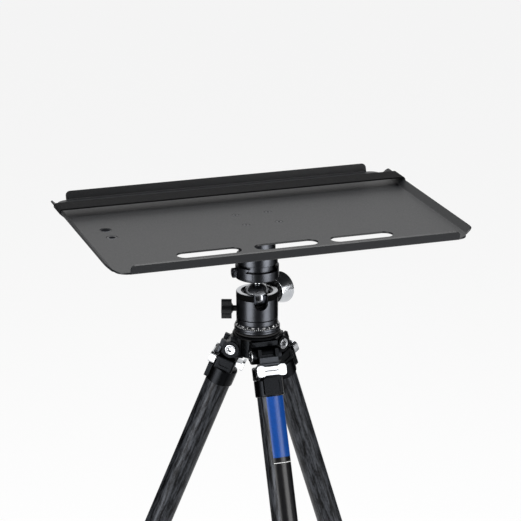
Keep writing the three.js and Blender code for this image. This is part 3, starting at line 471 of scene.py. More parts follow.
def grained(name, low, high, grain, bump, settings, rough=(0.4, 0.5), detail=3.0, stretch=(1, 1, 1)):
    """A finish whose colour, roughness and height follow one fine grain, sized in millimetres."""
    material, tree = start_material(name)
    place = add(tree, "ShaderNodeTexCoord")
    turn = add(tree, "ShaderNodeMapping", {"Scale": stretch}, {"Vector": place.outputs["Object"]})
    noise = add(
        tree, "ShaderNodeTexNoise", {"Scale": 1 / (grain * MM), "Detail": detail},
        {"Vector": turn.outputs[0]},
    )
    # The grain rides on a slow cloud of tone 60 mm across, so that no wide face is even.
    cloud = add(
        tree, "ShaderNodeTexNoise", {"Scale": 1 / (60 * MM), "Detail": 2.0},
        {"Vector": place.outputs["Object"]},
    )
    both = add(
        tree, "ShaderNodeMath", {"operation": "MULTIPLY_ADD", 1: 0.5, 2: 0.25}, {0: noise.outputs[0]},
    )
    blend = add(
        tree, "ShaderNodeMath", {"operation": "MULTIPLY_ADD", 1: 0.5},
        {0: cloud.outputs[0], 2: both.outputs[0]},
    )
    tint = add(
        tree, "ShaderNodeMix", {"data_type": "RGBA", 6: linear(low), 7: linear(high)},
        {0: blend.outputs[0]},
    )
    gloss = add(
        tree, "ShaderNodeMapRange",
        {"To Min": rough[0], "To Max": rough[1], "From Min": 0.3, "From Max": 0.7},
        {"Value": noise.outputs[0]},
    )
    relief = add(
        tree, "ShaderNodeBump", {"Strength": 1.0, "Distance": bump * MM}, {"Height": noise.outputs[0]},
    )
    close_material(
        tree, settings,
        {"Base Color": tint.outputs[2], "Roughness": gloss.outputs[0], "Normal": relief.outputs[0]},
    )
    return material


def turned_metal(name, low, high, centre, axis, pitch, bump, rough, metallic=1.0):
    """A metal with the fine rings that a lathe leaves round its axis."""
    # A lathe's marks are about 0.05 mm apart, too fine to show, so these are drawn 0.2 to 0.3 mm apart.
    material, tree = start_material(name)
    place = add(tree, "ShaderNodeTexCoord")
    turn = axis.to_track_quat("Z", "Y").to_matrix().to_4x4().inverted()
    mapping = add(
        tree, "ShaderNodeMapping",
        {"vector_type": "POINT", "Rotation": turn.to_euler(), "Location": -(turn @ centre)},
        {"Vector": place.outputs["Object"]},
    )
    parts = add(tree, "ShaderNodeSeparateXYZ", (), {0: mapping.outputs[0]})
    flat = add(tree, "ShaderNodeCombineXYZ", {2: 0.0}, {0: parts.outputs[0], 1: parts.outputs[1]})
    radius = add(tree, "ShaderNodeVectorMath", {"operation": "LENGTH"}, {0: flat.outputs[0]})
    reach = add(
        tree, "ShaderNodeMath", {"operation": "ADD"}, {0: radius.outputs["Value"], 1: parts.outputs[2]},
    )
    rings = add(
        tree, "ShaderNodeTexNoise", {"noise_dimensions": "1D", "Scale": 1 / (pitch * MM), "Detail": 2.0},
        {"W": reach.outputs[0]},
    )
    # A cloud 9 mm across varies the tone over parts as small as a knob.
    cloud = add(
        tree, "ShaderNodeTexNoise", {"Scale": 1 / (9 * MM), "Detail": 2.0},
        {"Vector": place.outputs["Object"]},
    )
    tint = add(
        tree, "ShaderNodeMix", {"data_type": "RGBA", 6: linear(low), 7: linear(high)},
        {0: cloud.outputs[0]},
    )
    gloss = add(
        tree, "ShaderNodeMapRange", {"To Min": rough[0], "To Max": rough[1]}, {"Value": rings.outputs[0]},
    )
    relief = add(
        tree, "ShaderNodeBump", {"Strength": 0.6, "Distance": bump * MM}, {"Height": rings.outputs[0]},
    )
    close_material(
        tree, {"Metallic": metallic},
        {"Base Color": tint.outputs[2], "Roughness": gloss.outputs[0], "Normal": relief.outputs[0]},
    )
    return material


def carbon_weave(name, tow):
    """Woven carbon laminate: 2/2 twill tows under a thin clear coat; the tows of one direction are painted
    lighter than the other's, as if lit along or across their fibres, with a painted highlight on each tow's
    crown.
    """
    # The tows are drawn about twice as wide as real ones, so that the weave shows.
    material, tree = start_material(name)
    place = add(tree, "ShaderNodeUVMap", {"uv_map": "wrap"})
    turn = add(
        tree, "ShaderNodeMapping", {"Rotation": (0, 0, math.radians(45)), "Scale": (1 / tow, 1 / tow, 1)},
        {"Vector": place.outputs[0]},
    )
    parts = add(tree, "ShaderNodeSeparateXYZ", (), {0: turn.outputs[0]})
    column = add(tree, "ShaderNodeMath", {"operation": "FLOOR"}, {0: parts.outputs[0]})
    row = add(tree, "ShaderNodeMath", {"operation": "FLOOR"}, {0: parts.outputs[1]})
    step = add(tree, "ShaderNodeMath", {"operation": "ADD"}, {0: column.outputs[0], 1: row.outputs[0]})
    wrapped = add(tree, "ShaderNodeMath", {"operation": "FLOORED_MODULO", 1: 4.0}, {0: step.outputs[0]})
    over = add(tree, "ShaderNodeMath", {"operation": "LESS_THAN", 1: 1.5}, {0: wrapped.outputs[0]})
    across = add(tree, "ShaderNodeMath", {"operation": "FRACT"}, {0: parts.outputs[0]})
    down = add(tree, "ShaderNodeMath", {"operation": "FRACT"}, {0: parts.outputs[1]})
    crown = add(tree, "ShaderNodeMix", (), {0: over.outputs[0], 2: across.outputs[0], 3: down.outputs[0]})
    centred = add(tree, "ShaderNodeMath", {"operation": "PINGPONG", 1: 0.5}, {0: crown.outputs[0]})
    # The outermost ply runs nearly along the tube, so its tows catch the light as streaks about 2.8 by 26 mm,
    # painted into the colour as sheen.
    along_tube = add(
        tree, "ShaderNodeMapping",
        {"Rotation": (0, 0, math.radians(7)), "Scale": (1 / (2.8 * MM), 1 / (26 * MM), 1)},
        {"Vector": place.outputs[0]},
    )
    fibre = add(
        tree, "ShaderNodeTexNoise", {"Scale": 1.0, "Detail": 4.0, "Roughness": 0.6},
        {"Vector": along_tube.outputs[0]},
    )
    sheen_streak = add(
        tree, "ShaderNodeMapRange", {"From Min": 0.42, "From Max": 0.64}, {"Value": fibre.outputs[0]},
    )
    # Painted light and shade: the tows of one direction lighter, a painted highlight on each crown, and the
    # painted sheen streaks over them.
    shade = add(
        tree, "ShaderNodeMath", {"operation": "MULTIPLY_ADD", 1: 0.55},
        {0: over.outputs[0], 2: centred.outputs[0]},
    )
    painted_sheen_tone = add(
        tree, "ShaderNodeMath", {"operation": "MULTIPLY_ADD", 1: 0.2},
        {0: shade.outputs[0], 2: sheen_streak.outputs[0]},
    )
    tint = add(
        tree, "ShaderNodeMix", {"data_type": "RGBA", 6: linear("#020203"), 7: linear("#34363A")},
        {0: painted_sheen_tone.outputs[0]},
    )
    gloss = add(tree, "ShaderNodeMapRange", {"To Min": 0.34, "To Max": 0.5}, {"Value": fibre.outputs[0]})
    relief = add(
        tree, "ShaderNodeBump", {"Strength": 0.5, "Distance": 0.05 * MM}, {"Height": centred.outputs[0]},
    )
    close_material(
        tree, {"Metallic": 0.5, "Specular IOR Level": 0.12, "Coat Weight": 0.06, "Coat Roughness": 0.25},
        {"Base Color": tint.outputs[2], "Roughness": gloss.outputs[0], "Normal": relief.outputs[0]},
    )
    return material


def webbing(name, code):
    """Woven webbing: rows of picks 1.1 mm apart across ends 0.9 mm apart, on the strap's own UV."""
    material, tree = start_material(name)
    place = add(tree, "ShaderNodeUVMap", {"uv_map": "wrap"})
    turn = add(
        tree, "ShaderNodeMapping", {"Scale": (1 / (1.1 * MM), 1 / (0.9 * MM), 1)},
        {"Vector": place.outputs[0]},
    )
    parts = add(tree, "ShaderNodeSeparateXYZ", (), {0: turn.outputs[0]})
    row = add(tree, "ShaderNodeMath", {"operation": "FLOOR"}, {0: parts.outputs[1]})
    shift = add(
        tree, "ShaderNodeMath", {"operation": "MULTIPLY_ADD", 1: 0.5},
        {0: row.outputs[0], 2: parts.outputs[0]},
    )
    across = add(tree, "ShaderNodeMath", {"operation": "PINGPONG", 1: 0.5}, {0: shift.outputs[0]})
    down = add(tree, "ShaderNodeMath", {"operation": "PINGPONG", 1: 0.5}, {0: parts.outputs[1]})
    knot = add(
        tree, "ShaderNodeMath", {"operation": "MULTIPLY"}, {0: across.outputs[0], 1: down.outputs[0]},
    )
    height = add(tree, "ShaderNodeMath", {"operation": "MULTIPLY", 1: 4.0}, {0: knot.outputs[0]})
    fuzz = add(tree, "ShaderNodeTexNoise", {"Scale": 6.0, "Detail": 3.0}, {"Vector": turn.outputs[0]})
    lit = add(tree, "ShaderNodeMath", {"operation": "MULTIPLY"}, {0: height.outputs[0], 1: fuzz.outputs[0]})
    # The crossings are painted lighter where they stand highest and darker in the hollows: painted light and
    # shade on the weave, broken up by a random fuzz.
    tint = add(
        tree, "ShaderNodeMix", {"data_type": "RGBA", 6: linear("#050506"), 7: linear(code)},
        {0: lit.outputs[0]},
    )
    relief = add(
        tree, "ShaderNodeBump", {"Strength": 0.8, "Distance": 0.25 * MM}, {"Height": height.outputs[0]},
    )
    close_material(
        tree, {"Roughness": 0.95, "Specular IOR Level": 0.12},
        {"Base Color": tint.outputs[2], "Normal": relief.outputs[0]},
    )
    return material


def finishes():
    """Every finish, made once and named for the real one."""
    if MADE:
        return MADE
    scene = bpy.context.scene
    tray, head, tripod = scene.tether_tray, scene.tether_head, scene.tether_tripod
    knob = Vector(JOINTS["main_knob_turn"]["pos_m"])
    knob_axis = Vector(JOINTS["main_knob_turn"]["axis"])
    satin = {"Specular IOR Level": 0.18}
    metal = {"Metallic": 1.0}
    glossy_print = {"Specular IOR Level": 0.15, "Coat Weight": 0.12, "Coat Roughness": 0.2}
    MADE.update({
        # Powder coat: a satin skin with a fine orange peel about 1 mm across.
        "sheet": grained(
            "powder_coated_aluminium_sheet", "#141517", tray.coat, 1.0, 0.02, satin, (0.34, 0.44),
        ),
        # Polyester webbing: dull, with its fine rows of picks just to be seen.
        "webbing": webbing("woven_polyester_webbing", tray.webbing),
        # Anodised aluminium, turned: near black, with soft bright bands where it faces the light.
        "anodised": turned_metal(
            "black_anodised_turned_aluminium", "#303134", head.anodised, BALL, UP, 0.25, 0.01, (0.26, 0.36),
        ),
        # The same skin on milled faces, a little rougher and without rings.
        "milled": grained(
            "black_anodised_milled_aluminium", "#1E1F21", head.anodised, 0.8, 0.01, metal, (0.3, 0.4),
        ),
        # Soft rubber: the deepest black of the head, almost without a highlight.
        "ring": grained(
            "black_rubber_ring", "#020202", "#050505", 1.0, 0.02, {"Specular IOR Level": 0.02}, (0.7, 0.85),
        ),
        # Bare turned steel: the brightest small parts, with sharp thin rings of light.
        "steel": turned_metal(
            "bright_turned_steel", "#8C8E91", "#A6A8AB", BALL, UP, 0.2, 0.006, (0.12, 0.2),
        ),
        # Clear anodising on milled aluminium: an even pale metal without rings.
        "silver": grained(
            "silver_anodised_aluminium", "#A9ACB0", head.silver, 0.5, 0.004, metal, (0.2, 0.28),
        ),
        # Turned and polished: the cone of the lock knob mirrors floor and ceiling in long soft bands.
        "polished": turned_metal(
            "silver_polished_aluminium", "#A4A7AC", head.silver, knob, knob_axis, 0.3, 0.004, (0.1, 0.16),
        ),
        # Satin chrome: a smooth grey ball that shows the lights as soft spots.
        "chrome": grained("satin_chromed_ball", "#6E7074", "#85878B", 0.6, 0.002, metal, (0.18, 0.26)),
        # Black oxide on steel: dark screws and inserts with a dull grey shine.
        "dark_steel": grained("black_oxide_steel", "#1C1D1F", "#2E2F32", 0.4, 0.006, metal, (0.28, 0.4)),
        # Cast alloy under black paint: slightly uneven, semi-gloss on its rounded edges.
        "cast": grained("black_painted_casting", "#0D0E0F", "#18191B", 1.6, 0.04, metal, (0.26, 0.38)),
        # Carbon laminate: black tubes with painted grey sheen streaks along them, and the weave's painted light
        # and shade faint below.
        "carbon": carbon_weave("twill_carbon_laminate", tripod.tow),
        # Moulded rubber: flat black on the grips, the feet and the top plate.
        "rubber": grained(
            "moulded_grip_rubber", "#0B0B0C", "#141415", 0.7, 0.06, {"Specular IOR Level": 0.2}, (0.6, 0.8),
        ),
        # Nylon with a moulded satin skin: the knobs and the buckle, a little glossier than the rubber.
        "plastic": grained("moulded_black_nylon", "#0C0D0E", "#161718", 0.8, 0.02, satin, (0.3, 0.42)),
        # Printed film, blue and black: smooth and even, with a thin gloss over the print.
        "band": grained("blue_printed_film", "#031937", tripod.band, 2.0, 0.002, glossy_print, (0.3, 0.36)),
        "decal": grained(
            "black_printed_film", "#060607", "#0B0B0D", 2.0, 0.002, glossy_print, (0.28, 0.34),
        ),
        # Paint in the engraved scale: matt white lines and numbers that stand out on the black.
        "ink": grained("white_engraving_paint", "#C8C9CA", "#E2E2E2", 0.5, 0.004, {}, (0.5, 0.6)),
    })
    return MADE


# Tray, strap and column screws
def slot_cutter(x, y, size, wide):
    """A stadium-shaped punch, from a rod stretched apart at its middle."""
    punch = rod("punch", wide / 2, *PUNCH, 48)
    bpy.ops.object.mode_set(mode="EDIT")
    bpy.ops.mesh.select_all(action="SELECT")
    bpy.ops.mesh.bisect(plane_co=(0, 0, 0), plane_no=(1, 0, 0))
    bpy.ops.object.mode_set(mode="OBJECT")
    reach = (size - wide) / 2 * MM
    for vertex in punch.data.vertices:
        side = 1 if vertex.co.x > NEAR else -1 if vertex.co.x < -NEAR else 0
        vertex.co.x += side * reach
    return moved(punch, Matrix.Translation((x * MM, y * MM, 0)))


def select_edges(obj, test):
    """Selects the edges whose both ends pass the test, in edit mode's edge mode."""
    bpy.ops.object.mode_set(mode="EDIT")
    bpy.ops.mesh.select_mode(type="EDGE")
    bpy.ops.mesh.select_all(action="DESELECT")
    bpy.ops.object.mode_set(mode="OBJECT")
    mesh = obj.data
    for edge in mesh.edges:
        edge.select = all(test(mesh.vertices[i].co) for i in edge.vertices)
    bpy.ops.object.mode_set(mode="EDIT")


def select_points(obj, test):
    """Selects the vertices that pass the test, in edit mode's vertex mode."""
    bpy.ops.object.mode_set(mode="EDIT")
    bpy.ops.mesh.select_mode(type="VERT")
    bpy.ops.mesh.select_all(action="DESELECT")
    bpy.ops.object.mode_set(mode="OBJECT")
    for vertex in obj.data.vertices:
        vertex.select = test(vertex.co)
    bpy.ops.object.mode_set(mode="EDIT")


def folded_tray(settings):
    """A panel whose edges are extruded round their bends, then given the sheet's thickness below."""
    x, y = settings.width / 2, settings.depth / 2
    corner, lip = settings.corner, settings.lip
    deselect()
    bpy.ops.mesh.primitive_plane_add(size=1, scale=(1, 1, 1))
    obj = named("tray_pan_folded")
    bpy.ops.object.mode_set(mode="EDIT")
    bpy.ops.transform.resize(value=(2 * x, 2 * y, 1))
    for place, normal in (
        ((x - corner, 0, 0), (1, 0, 0)), ((corner - x, 0, 0), (1, 0, 0)), ((0, y - corner, 0), (0, 1, 0)),
        ((0, corner - y, 0), (0, 1, 0)),
    ):
        bpy.ops.mesh.select_all(action="SELECT")
        bpy.ops.mesh.bisect(plane_co=place, plane_no=normal)
    folds = (
        ((1, 0, 0), SIDE_LEAN, lambda p: p.x > x - NEAR and abs(p.y) < y - corner + NEAR),
        ((-1, 0, 0), SIDE_LEAN, lambda p: p.x < NEAR - x and abs(p.y) < y - corner + NEAR),
        ((0, 1, 0), END_LEAN, lambda p: p.y > y - NEAR and abs(p.x) < x - corner + NEAR),
        ((0, -1, 0), END_LEAN, lambda p: p.y < NEAR - y and abs(p.x) < x - corner + NEAR),
    )
    steps, stride = 4, 0.35 * MM
    for away, lean, test in folds:
        select_edges(obj, test)
        away = Vector(away)
        bend = (math.pi / 2 - lean) / steps
        for i in range(steps):
            rise = (i + 0.5) * bend
            step = stride * (away * math.cos(rise) + UP * math.sin(rise))
            bpy.ops.mesh.extrude_region_move(TRANSFORM_OT_translate={"value": step})
        rest = lip - steps * stride
        step = rest * (away * math.sin(lean) + UP * math.cos(lean))
        bpy.ops.mesh.extrude_region_move(TRANSFORM_OT_translate={"value": step})
        bpy.ops.object.mode_set(mode="OBJECT")
    corners = [Vector((sx * x, sy * y, 0)) for sx in (-1, 1) for sy in (-1, 1)]
    select_points(obj, lambda p: any((p - c).length < NEAR for c in corners))
    bpy.ops.mesh.bevel(offset=corner * 0.999, segments=10, affect="VERTICES")
    bpy.ops.object.mode_set(mode="OBJECT")
    tips = [v.co.copy() for v in obj.data.vertices if v.co.z > lip * 0.6]
    sides = [(a, b) for a in (1, -1) for b in (0.1, -0.1)] + [(a, b) for b in (1, -1) for a in (0.1, -0.1)]
    ends = [max(tips, key=lambda p, a=a, b=b: a * p.x + b * p.y) for a, b in sides]
    select_points(obj, lambda p: any((p - c).length < NEAR for c in ends))
    bpy.ops.mesh.bevel(offset=0.5 * lip, segments=6, affect="VERTICES")
    bpy.ops.mesh.select_all(action="SELECT")
    bpy.ops.mesh.normals_make_consistent(inside=False)
    bpy.ops.object.mode_set(mode="OBJECT")
    face_towards(obj, UP)
    return modify(obj, "SOLIDIFY", thickness=settings.sheet, offset=-1, use_even_offset=True)


class TETHER_OT_tray(bpy.types.Operator):
    """Fold the tray from sheet and punch its slots and holes"""
    bl_idname = "tether.tray"
    bl_label = "Tray"

    def execute(self, context):
        settings = context.scene.tether_tray
        obj = folded_tray(settings)
        slot_row, insert_hole, screw_hole = -95.0, 6.3, 4.1
        pitch, long, wide = settings.slot_pitch / MM, settings.slot_length / MM, settings.slot_width / MM
        punches = [slot_cutter(i * pitch, slot_row, long, wide) for i in (-1, 0, 1)]
        insert_x = (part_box("thread_insert_quarter")[0].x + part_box("thread_insert_quarter")[1].x) / 2 - BALL.x
        for node in ("thread_insert_quarter", "thread_insert_three_eighths"):
            low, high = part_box(node)
            hole = rod("punch", insert_hole, *PUNCH, 40)
            punches.append(moved(hole, Matrix.Translation((insert_x, (low.y + high.y) / 2 - BALL.y, 0))))
        for i in range(4):
            turn = math.radians(45 + 90 * i)
            hole = rod("punch", screw_hole, *PUNCH, 32)
            reach = SCREW_CIRCLE * MM
            place = Vector((math.cos(turn), math.sin(turn), 0)) * reach
            punches.append(moved(hole, Matrix.Translation(place)))
        cut(obj, *punches)
        soften(obj, 0.35, 2)
        moved(obj, TRAY)
        fit(obj, "tray", "satin_black_sheet", finishes()["sheet"], "tray_pan")
        return {"FINISHED"}


class TETHER_OT_tray_fittings(bpy.types.Operator):
    """Turn the threaded inserts and the countersunk screws of the tray"""
    bl_idname = "tether.tray_fittings"
    bl_label = "Tray fittings"

    def execute(self, context):
        looks = finishes()
        for node, bore in (("thread_insert_quarter", 3.25), ("thread_insert_three_eighths", 4.75)):
            low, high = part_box(node)
            turns, depth = 3, 2.9
            thread = []
            for i in range(2 * turns + 1):
                thread.append((bore + 0.35 * (i % 2), -0.5 - i * (depth / (2 * turns))))
            profile = [
                (bore + 0.5, 0), (5.4, 0), (6, -0.4), (6, -2.3), (7.6, -2.3), (8, -2.7), (8, -3.5),
                (7.6, -3.9), (bore, -3.9),
            ]
            profile += list(reversed(thread)) + [(bore + 0.5, 0)]
            obj = turned(f"{node}_turned", profile, 48)
            soften(obj, 0)
            moved(obj, Matrix.Translation(((low.x + high.x) / 2, (low.y + high.y) / 2, TRAY_TOP)))
            fit(obj, "tray", "dark_steel", looks["dark_steel"], node)
        for i in range(4):
            node = f"column_screw_{i + 1}"
            low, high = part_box(node)
            obj = turned(
                f"{node}_turned",
                [
                    (0, -5.4), (1.7, -5.4), (2, -5), (2, -2), (3.2, -2), (3.8, -1.2), (3.8, -0.25),
                    (3.5, 0), (0, 0),
                ],
                40,
            )
            cut(obj, rod("hex", 1.35, -1.3, 1, 6))
            soften(obj, 0.08)
            moved(obj, Matrix.Translation(((low.x + high.x) / 2, (low.y + high.y) / 2, TRAY_TOP)))
            fit(obj, "tray", "bright_steel", looks["dark_steel"], node)
        return {"FINISHED"}


def strap_path(settings):
    """The strap's inner line round the tray, as points in X and Z, clear of the sheet by the trim."""
    x, lip, sheet = settings.width / 2 / MM, settings.lip / MM, settings.sheet / MM
    tip = Vector((x + lip * math.sin(SIDE_LEAN), lip * math.cos(SIDE_LEAN)))
    off = Vector((math.cos(SIDE_LEAN), -math.sin(SIDE_LEAN)))
    away = sheet + TRIM
    right = [tip + Vector((0, TRIM)), tip + off * away, Vector((x, 0)) + off * away, Vector((x, -away))]
    left = [Vector((-p.x, p.y)) for p in reversed(right)]
    return right + left


class TETHER_OT_strap(bpy.types.Operator):
    """Weave the strap round the tray and thread it through its buckle"""
    bl_idname = "tether.strap"
    bl_label = "Strap"

    def execute(self, context):
        settings = context.scene.tether_tray
        looks = finishes()
        edge = -settings.strap_width / 2 / MM
        obj = draw("strap_webbing", [(p.x, edge, p.y) for p in strap_path(settings)])
        bpy.ops.mesh.edge_face_add()
        bpy.ops.mesh.delete(type="ONLY_FACE")
        bpy.ops.mesh.select_all(action="SELECT")
        bpy.ops.mesh.bevel(offset=0.9 * MM, segments=3, affect="VERTICES")
        bpy.ops.mesh.select_all(action="SELECT")
        bpy.ops.mesh.extrude_region_move(TRANSFORM_OT_translate={"value": (0, settings.strap_width, 0)})
        bpy.ops.mesh.select_all(action="SELECT")
        bpy.ops.mesh.normals_make_consistent(inside=False)
        bpy.ops.object.mode_set(mode="OBJECT")
        modify(obj, "SOLIDIFY", thickness=settings.strap_thickness, offset=1)
        soften(obj, 0.35, 2)
        layer = wrap_layer(obj.data)
        for face in obj.data.polygons:
            steep = abs(face.normal.x) > abs(face.normal.z)
            for loop in face.loop_indices:
                p = obj.data.vertices[obj.data.loops[loop].vertex_index].co
                layer.data[loop].uv = (p.z if steep else p.x, p.y)
        low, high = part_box("strap")
        moved(obj, Matrix.Translation((BALL.x, (low.y + high.y) / 2, TRAY_TOP)))
        fit(obj, "tray", "black_webbing", looks["webbing"], "strap")
        buckle = copy_of("strap_buckle", "strap_buckle_moulded")
        soften(buckle, 0.5, 3)
        fit(buckle, "buckle", "black_plastic", looks["plastic"], "strap_buckle")
        return {"FINISHED"}


# Column, clamp, ball head and panning base
class TETHER_OT_column(bpy.types.Operator):
    """Turn the mounting column and its round dovetail plate"""
    bl_idname = "tether.column"
    bl_label = "Column and plate"

    def execute(self, context):
        looks = finishes()
        low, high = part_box("mount_column")
        bottom, top = (low.z - TRAY_TOP) / MM, (high.z - TRAY_TOP) / MM
        radius = context.scene.tether_head.column / MM
        bore, bore_depth, cove = 4.2, 20, 4
        profile = [
            (0, bottom + bore_depth), (bore, bottom + bore_depth), (bore, bottom), (radius - 1, bottom),
            (radius, bottom + 1), (radius, top - 2 * cove),
        ]
        profile += arc(cove, 180, 90, 6, (radius + cove, top - 2 * cove))[1:]
        profile += [(31.4, top - 4), (32, top - 3.4), (32, top - 0.5), (31.5, top), (0, top)]
        obj = turned("mount_column_turned", profile, 96)
        drop = Matrix.Translation((0, 0, -LOCK_SCREW_DROP * MM))
        forward = Matrix.Rotation(math.radians(90), 4, "X")
        cut(obj, moved(rod("seat", 3.7, 10.7, 22, 32), drop @ forward))
        soften(obj, 0.2, 2)
        moved(obj, TRAY)
        fit(obj, "tray", "black_anodised", looks["anodised"], "mount_column")
        screw = turned(
            "column_lock_screw_turned",
            [
                (0, -9), (2.1, -9), (2.4, -8.6), (2.4, -0.8), (3.3, -0.8), (3.4, -0.5), (3.4, 1),
                (3.0, 1.4), (0, 1.4),
            ],
            40,
        )
        cut(screw, rod("hex", 1.7, 0.2, 3, 6))
        soften(screw, 0.08)
        moved(screw, TRAY @ drop @ Matrix.Translation((0, -radius * MM, 0)) @ forward)
        fit(screw, "tray", "bright_steel", looks["steel"], "column_lock_screw")
        radius = context.scene.tether_head.plate / MM
        rim = [
            (0, 0), (radius - 2, 0), (radius - 2, 1.7), (radius - 0.3, 1.8), (radius, 2.2), (radius, 10.9),
            (radius - 0.3, 11.7), (radius - 1.3, 12.1), (0, 12.1),
        ]
        plate = turned("dovetail_plate_milled", rim, 128)
        foot = dovetail(0, -DOVETAIL_DEPTH, 1, 40)
        combine(foot, "INTERSECT", rod("room", radius - 2.3, -8, 4, 96))
        fused(plate, foot)
        cut(plate, rod("bolt", 4.2, -8, 20, 32), rod("bolt_head", 6.8, -8, 0.6, 32))
        moved(plate, Matrix.Translation(BALL + UP * CLAMP_TOP * MM))
        soften(plate, 0.3, 2)
        fit(plate, "tray", "black_anodised", looks["anodised"], "dovetail_plate")
        return {"FINISHED"}


def dovetail(extra, low, high, reach):
    """A dovetail's prism along Y, wider below, as the plate's foot or the clamp's channel."""
    slope, foot, neck = 0.8, 18 + extra, 14 + extra
    lift = slope * (low + DOVETAIL_DEPTH)
    rise = slope * high
    outline = [(lift - foot, low), (foot - lift, low), (neck - rise, high), (rise - neck, high)]
    return upright(prism("dovetail", outline, -reach, reach))


class TETHER_OT_clamp(bpy.types.Operator):
    """Shape the clamp body, its jaw and its knurled knob"""
    bl_idname = "tether.clamp"
    bl_label = "Clamp"

    def channel(self):
        """The dovetail groove, with the trim round the plate's foot."""
        groove = dovetail(TRIM, -DOVETAIL_DEPTH - TRIM, 1, 60)
        return moved(groove, Matrix.Translation(UP * (CLAMP_TOP - CLAMP_FLOOR) * MM))

    def screw_hole(self, start):
        """The hole for the jaw's screw, from its start out through the jaw's side."""
        hole = moved(rod("screw", 2.5, start, 40, 24), Matrix.Rotation(math.radians(-90), 4, "Y"))
        return moved(hole, Matrix.Translation(UP * JAW_SCREW_HEIGHT * MM))

    def execute(self, context):
        looks = finishes()
        radius = context.scene.tether_head.clamp / MM
        place = Matrix.Translation(BALL + UP * CLAMP_FLOOR * MM)
        disc = [
            (0, 0), (radius - 1.8, 0), (radius - 0.4, 0.7), (radius, 1.8), (radius, 14.3),
            (radius - 0.3, 14.9), (radius - 1, 15.3), (0, 15.3),
        ]
        body = turned("clamp_body_milled", disc, 128)
        jaw_room = block("jaw_room", (-60, -60, 2.8), (-12.2, 60, 20))
        cut(body, self.channel(), jaw_room, self.screw_hole(-10.3), rod("pin", 4.3, -1, 4.3, 32))
        soften(body, 0.35, 3)
        moved(body, place)
        fit(body, "clamp", "black_anodised", looks["anodised"], "clamp_body")

        jaw = turned("clamp_jaw_milled", disc, 128)
        keep = block("keep", (-60, -60, 3.1), (-12.5, 60, 20))
        combine(jaw, "INTERSECT", keep)
        cut(jaw, self.channel(), self.screw_hole(0))
        soften(jaw, 0.35, 3)
        moved(jaw, place)
        fit(jaw, "clamp_jaw", "black_anodised", looks["anodised"], "clamp_jaw")

        knob = prism("clamp_knob_knurled", lobed(5.5, 22, 0.09, 132), radius + 0.3, radius + 4.5)
        dish = turned(
            "dish", [(0, radius + 3.9), (3.2, radius + 3.9), (3.7, radius + 6), (0, radius + 6)], 40,
        )
        cut(knob, dish)
        shaft = rod("shaft", 2.2, -10, radius + 1, 24)
        fused(knob, shaft)
        soften(knob, 0.25, 2)
        moved(knob, facing(*CLAMP_KNOB))
        fit(knob, "clamp_knob", "black_anodised", looks["milled"], "clamp_knob")
        return {"FINISHED"}


class TETHER_OT_ball(bpy.types.Operator):
    """Turn the ball and its stem"""
    bl_idname = "tether.ball"
    bl_label = "Ball and stem"

    def execute(self, context):
        looks = finishes()
        half = arc(BALL_RADIUS, -90, 90, 36)
        half[0], half[-1] = (0, -BALL_RADIUS), (0, BALL_RADIUS)
        obj = turned("ball_polished", half, 72)
        soften(obj, 0)
        moved(obj, HEAD)
        fit(obj, "ball", "dark_chrome", looks["chrome"], "ball")
        seat = [(0, 15.3), (2.4, 15.11), (4.75, 14.55)]
        stem = turned(
            "ball_stem_turned",
            seat + [
                (4.75, 16.4), (4.2, 16.9), (4.2, 17.6), (4.75, 18.1), (4.75, 20.9), (4, 20.9), (4, 25),
                (0, 25),
            ],
            56,
        )
        soften(stem, 0.15)
        moved(stem, HEAD)
        fit(stem, "stem", "bright_steel", looks["steel"], "ball_stem")
        return {"FINISHED"}


class TETHER_OT_housing(bpy.types.Operator):
    """Bore the ball housing, cut its notch and fit its rubber ring and the thin pale ring of painted highlight
    on its rim
    """
    bl_idname = "tether.housing"
    bl_label = "Ball housing"

    def notch(self):
        """The slot that the stem drops into, round at its foot and open at the rim."""
        half, foot, top = 7.5, -2.6, 9
        outline = [(-half, top), (-half, foot)] + arc(half, 180, 360, 20, (0, foot))[1:-1]
        outline += [(half, foot), (half, top)]
        return moved(prism("notch", outline, 9, 26), facing(NOTCH_AZIMUTH))

    def execute(self, context):
        looks = finishes()
        radius = context.scene.tether_head.housing / MM
        # The wall stands straight up to a flat rim; a recess under the rim takes the rubber ring.
        profile = [
            (18.3, -23), (radius - 0.5, -23), (radius, -22.5), (radius, -0.5), (radius - 0.4, -0.4),
            (radius - 0.4, 5.7), (radius - 0.1, 5.75), (radius - 0.6, 6.2), (17.7, 6.2), (17.2, 5.7),
            (17.2, 4.4), (15.9, 3.4), (15.0, 3.0), (15.25, 1.4), (15.3, 0), (15.2, -1.8), (14.95, -3.3),
            (14.6, -4.6), (14.6, -10.8), (18.3, -10.8), (18.3, -23),
        ]
        obj = moved(turned("ball_housing_turned", profile, 128), HEAD)
        main_hole = moved(rod("main_hole", 4.5, 13, 26, 32), facing(*MAIN_KNOB))
        pan_hole = moved(rod("pan_hole", 3.5, 17, 26, 32), facing(*PAN_KNOB))
        cut(obj, self.notch(), main_hole, pan_hole)
        soften(obj, 0.3, 3)
        fit(obj, "ball_housing", "black_anodised", looks["anodised"], "ball_housing")
        inner = radius - 0.4
        ring = [
            (inner, -0.3), (radius - 0.03, -0.3), (radius, -0.2), (radius, 5.5), (radius - 0.1, 5.6),
            (inner, 5.6), (inner, -0.3),
        ]
        band = moved(turned("ball_housing_ring", ring, 128), HEAD)
        cut(band, self.notch())
        soften(band, 0)
        fit(band, "ball_housing", "black_anodised", looks["ring"])
        # A thin pale ring on the housing's black anodised top face: a painted highlight for the light that its
        # chamfer reflects.
        lip = [
            (17.9, 6.1), (22.1, 6.1), (22.3, 6.25), (22.1, 6.35), (17.9, 6.35), (17.7, 6.25), (17.9, 6.1),
        ]
        rim = moved(turned("ball_housing_rim_highlight", lip, 128), HEAD)
        cut(rim, self.notch())
        soften(rim, 0)
        fit(rim, "ball_housing", "black_anodised", looks["silver"])
        return {"FINISHED"}


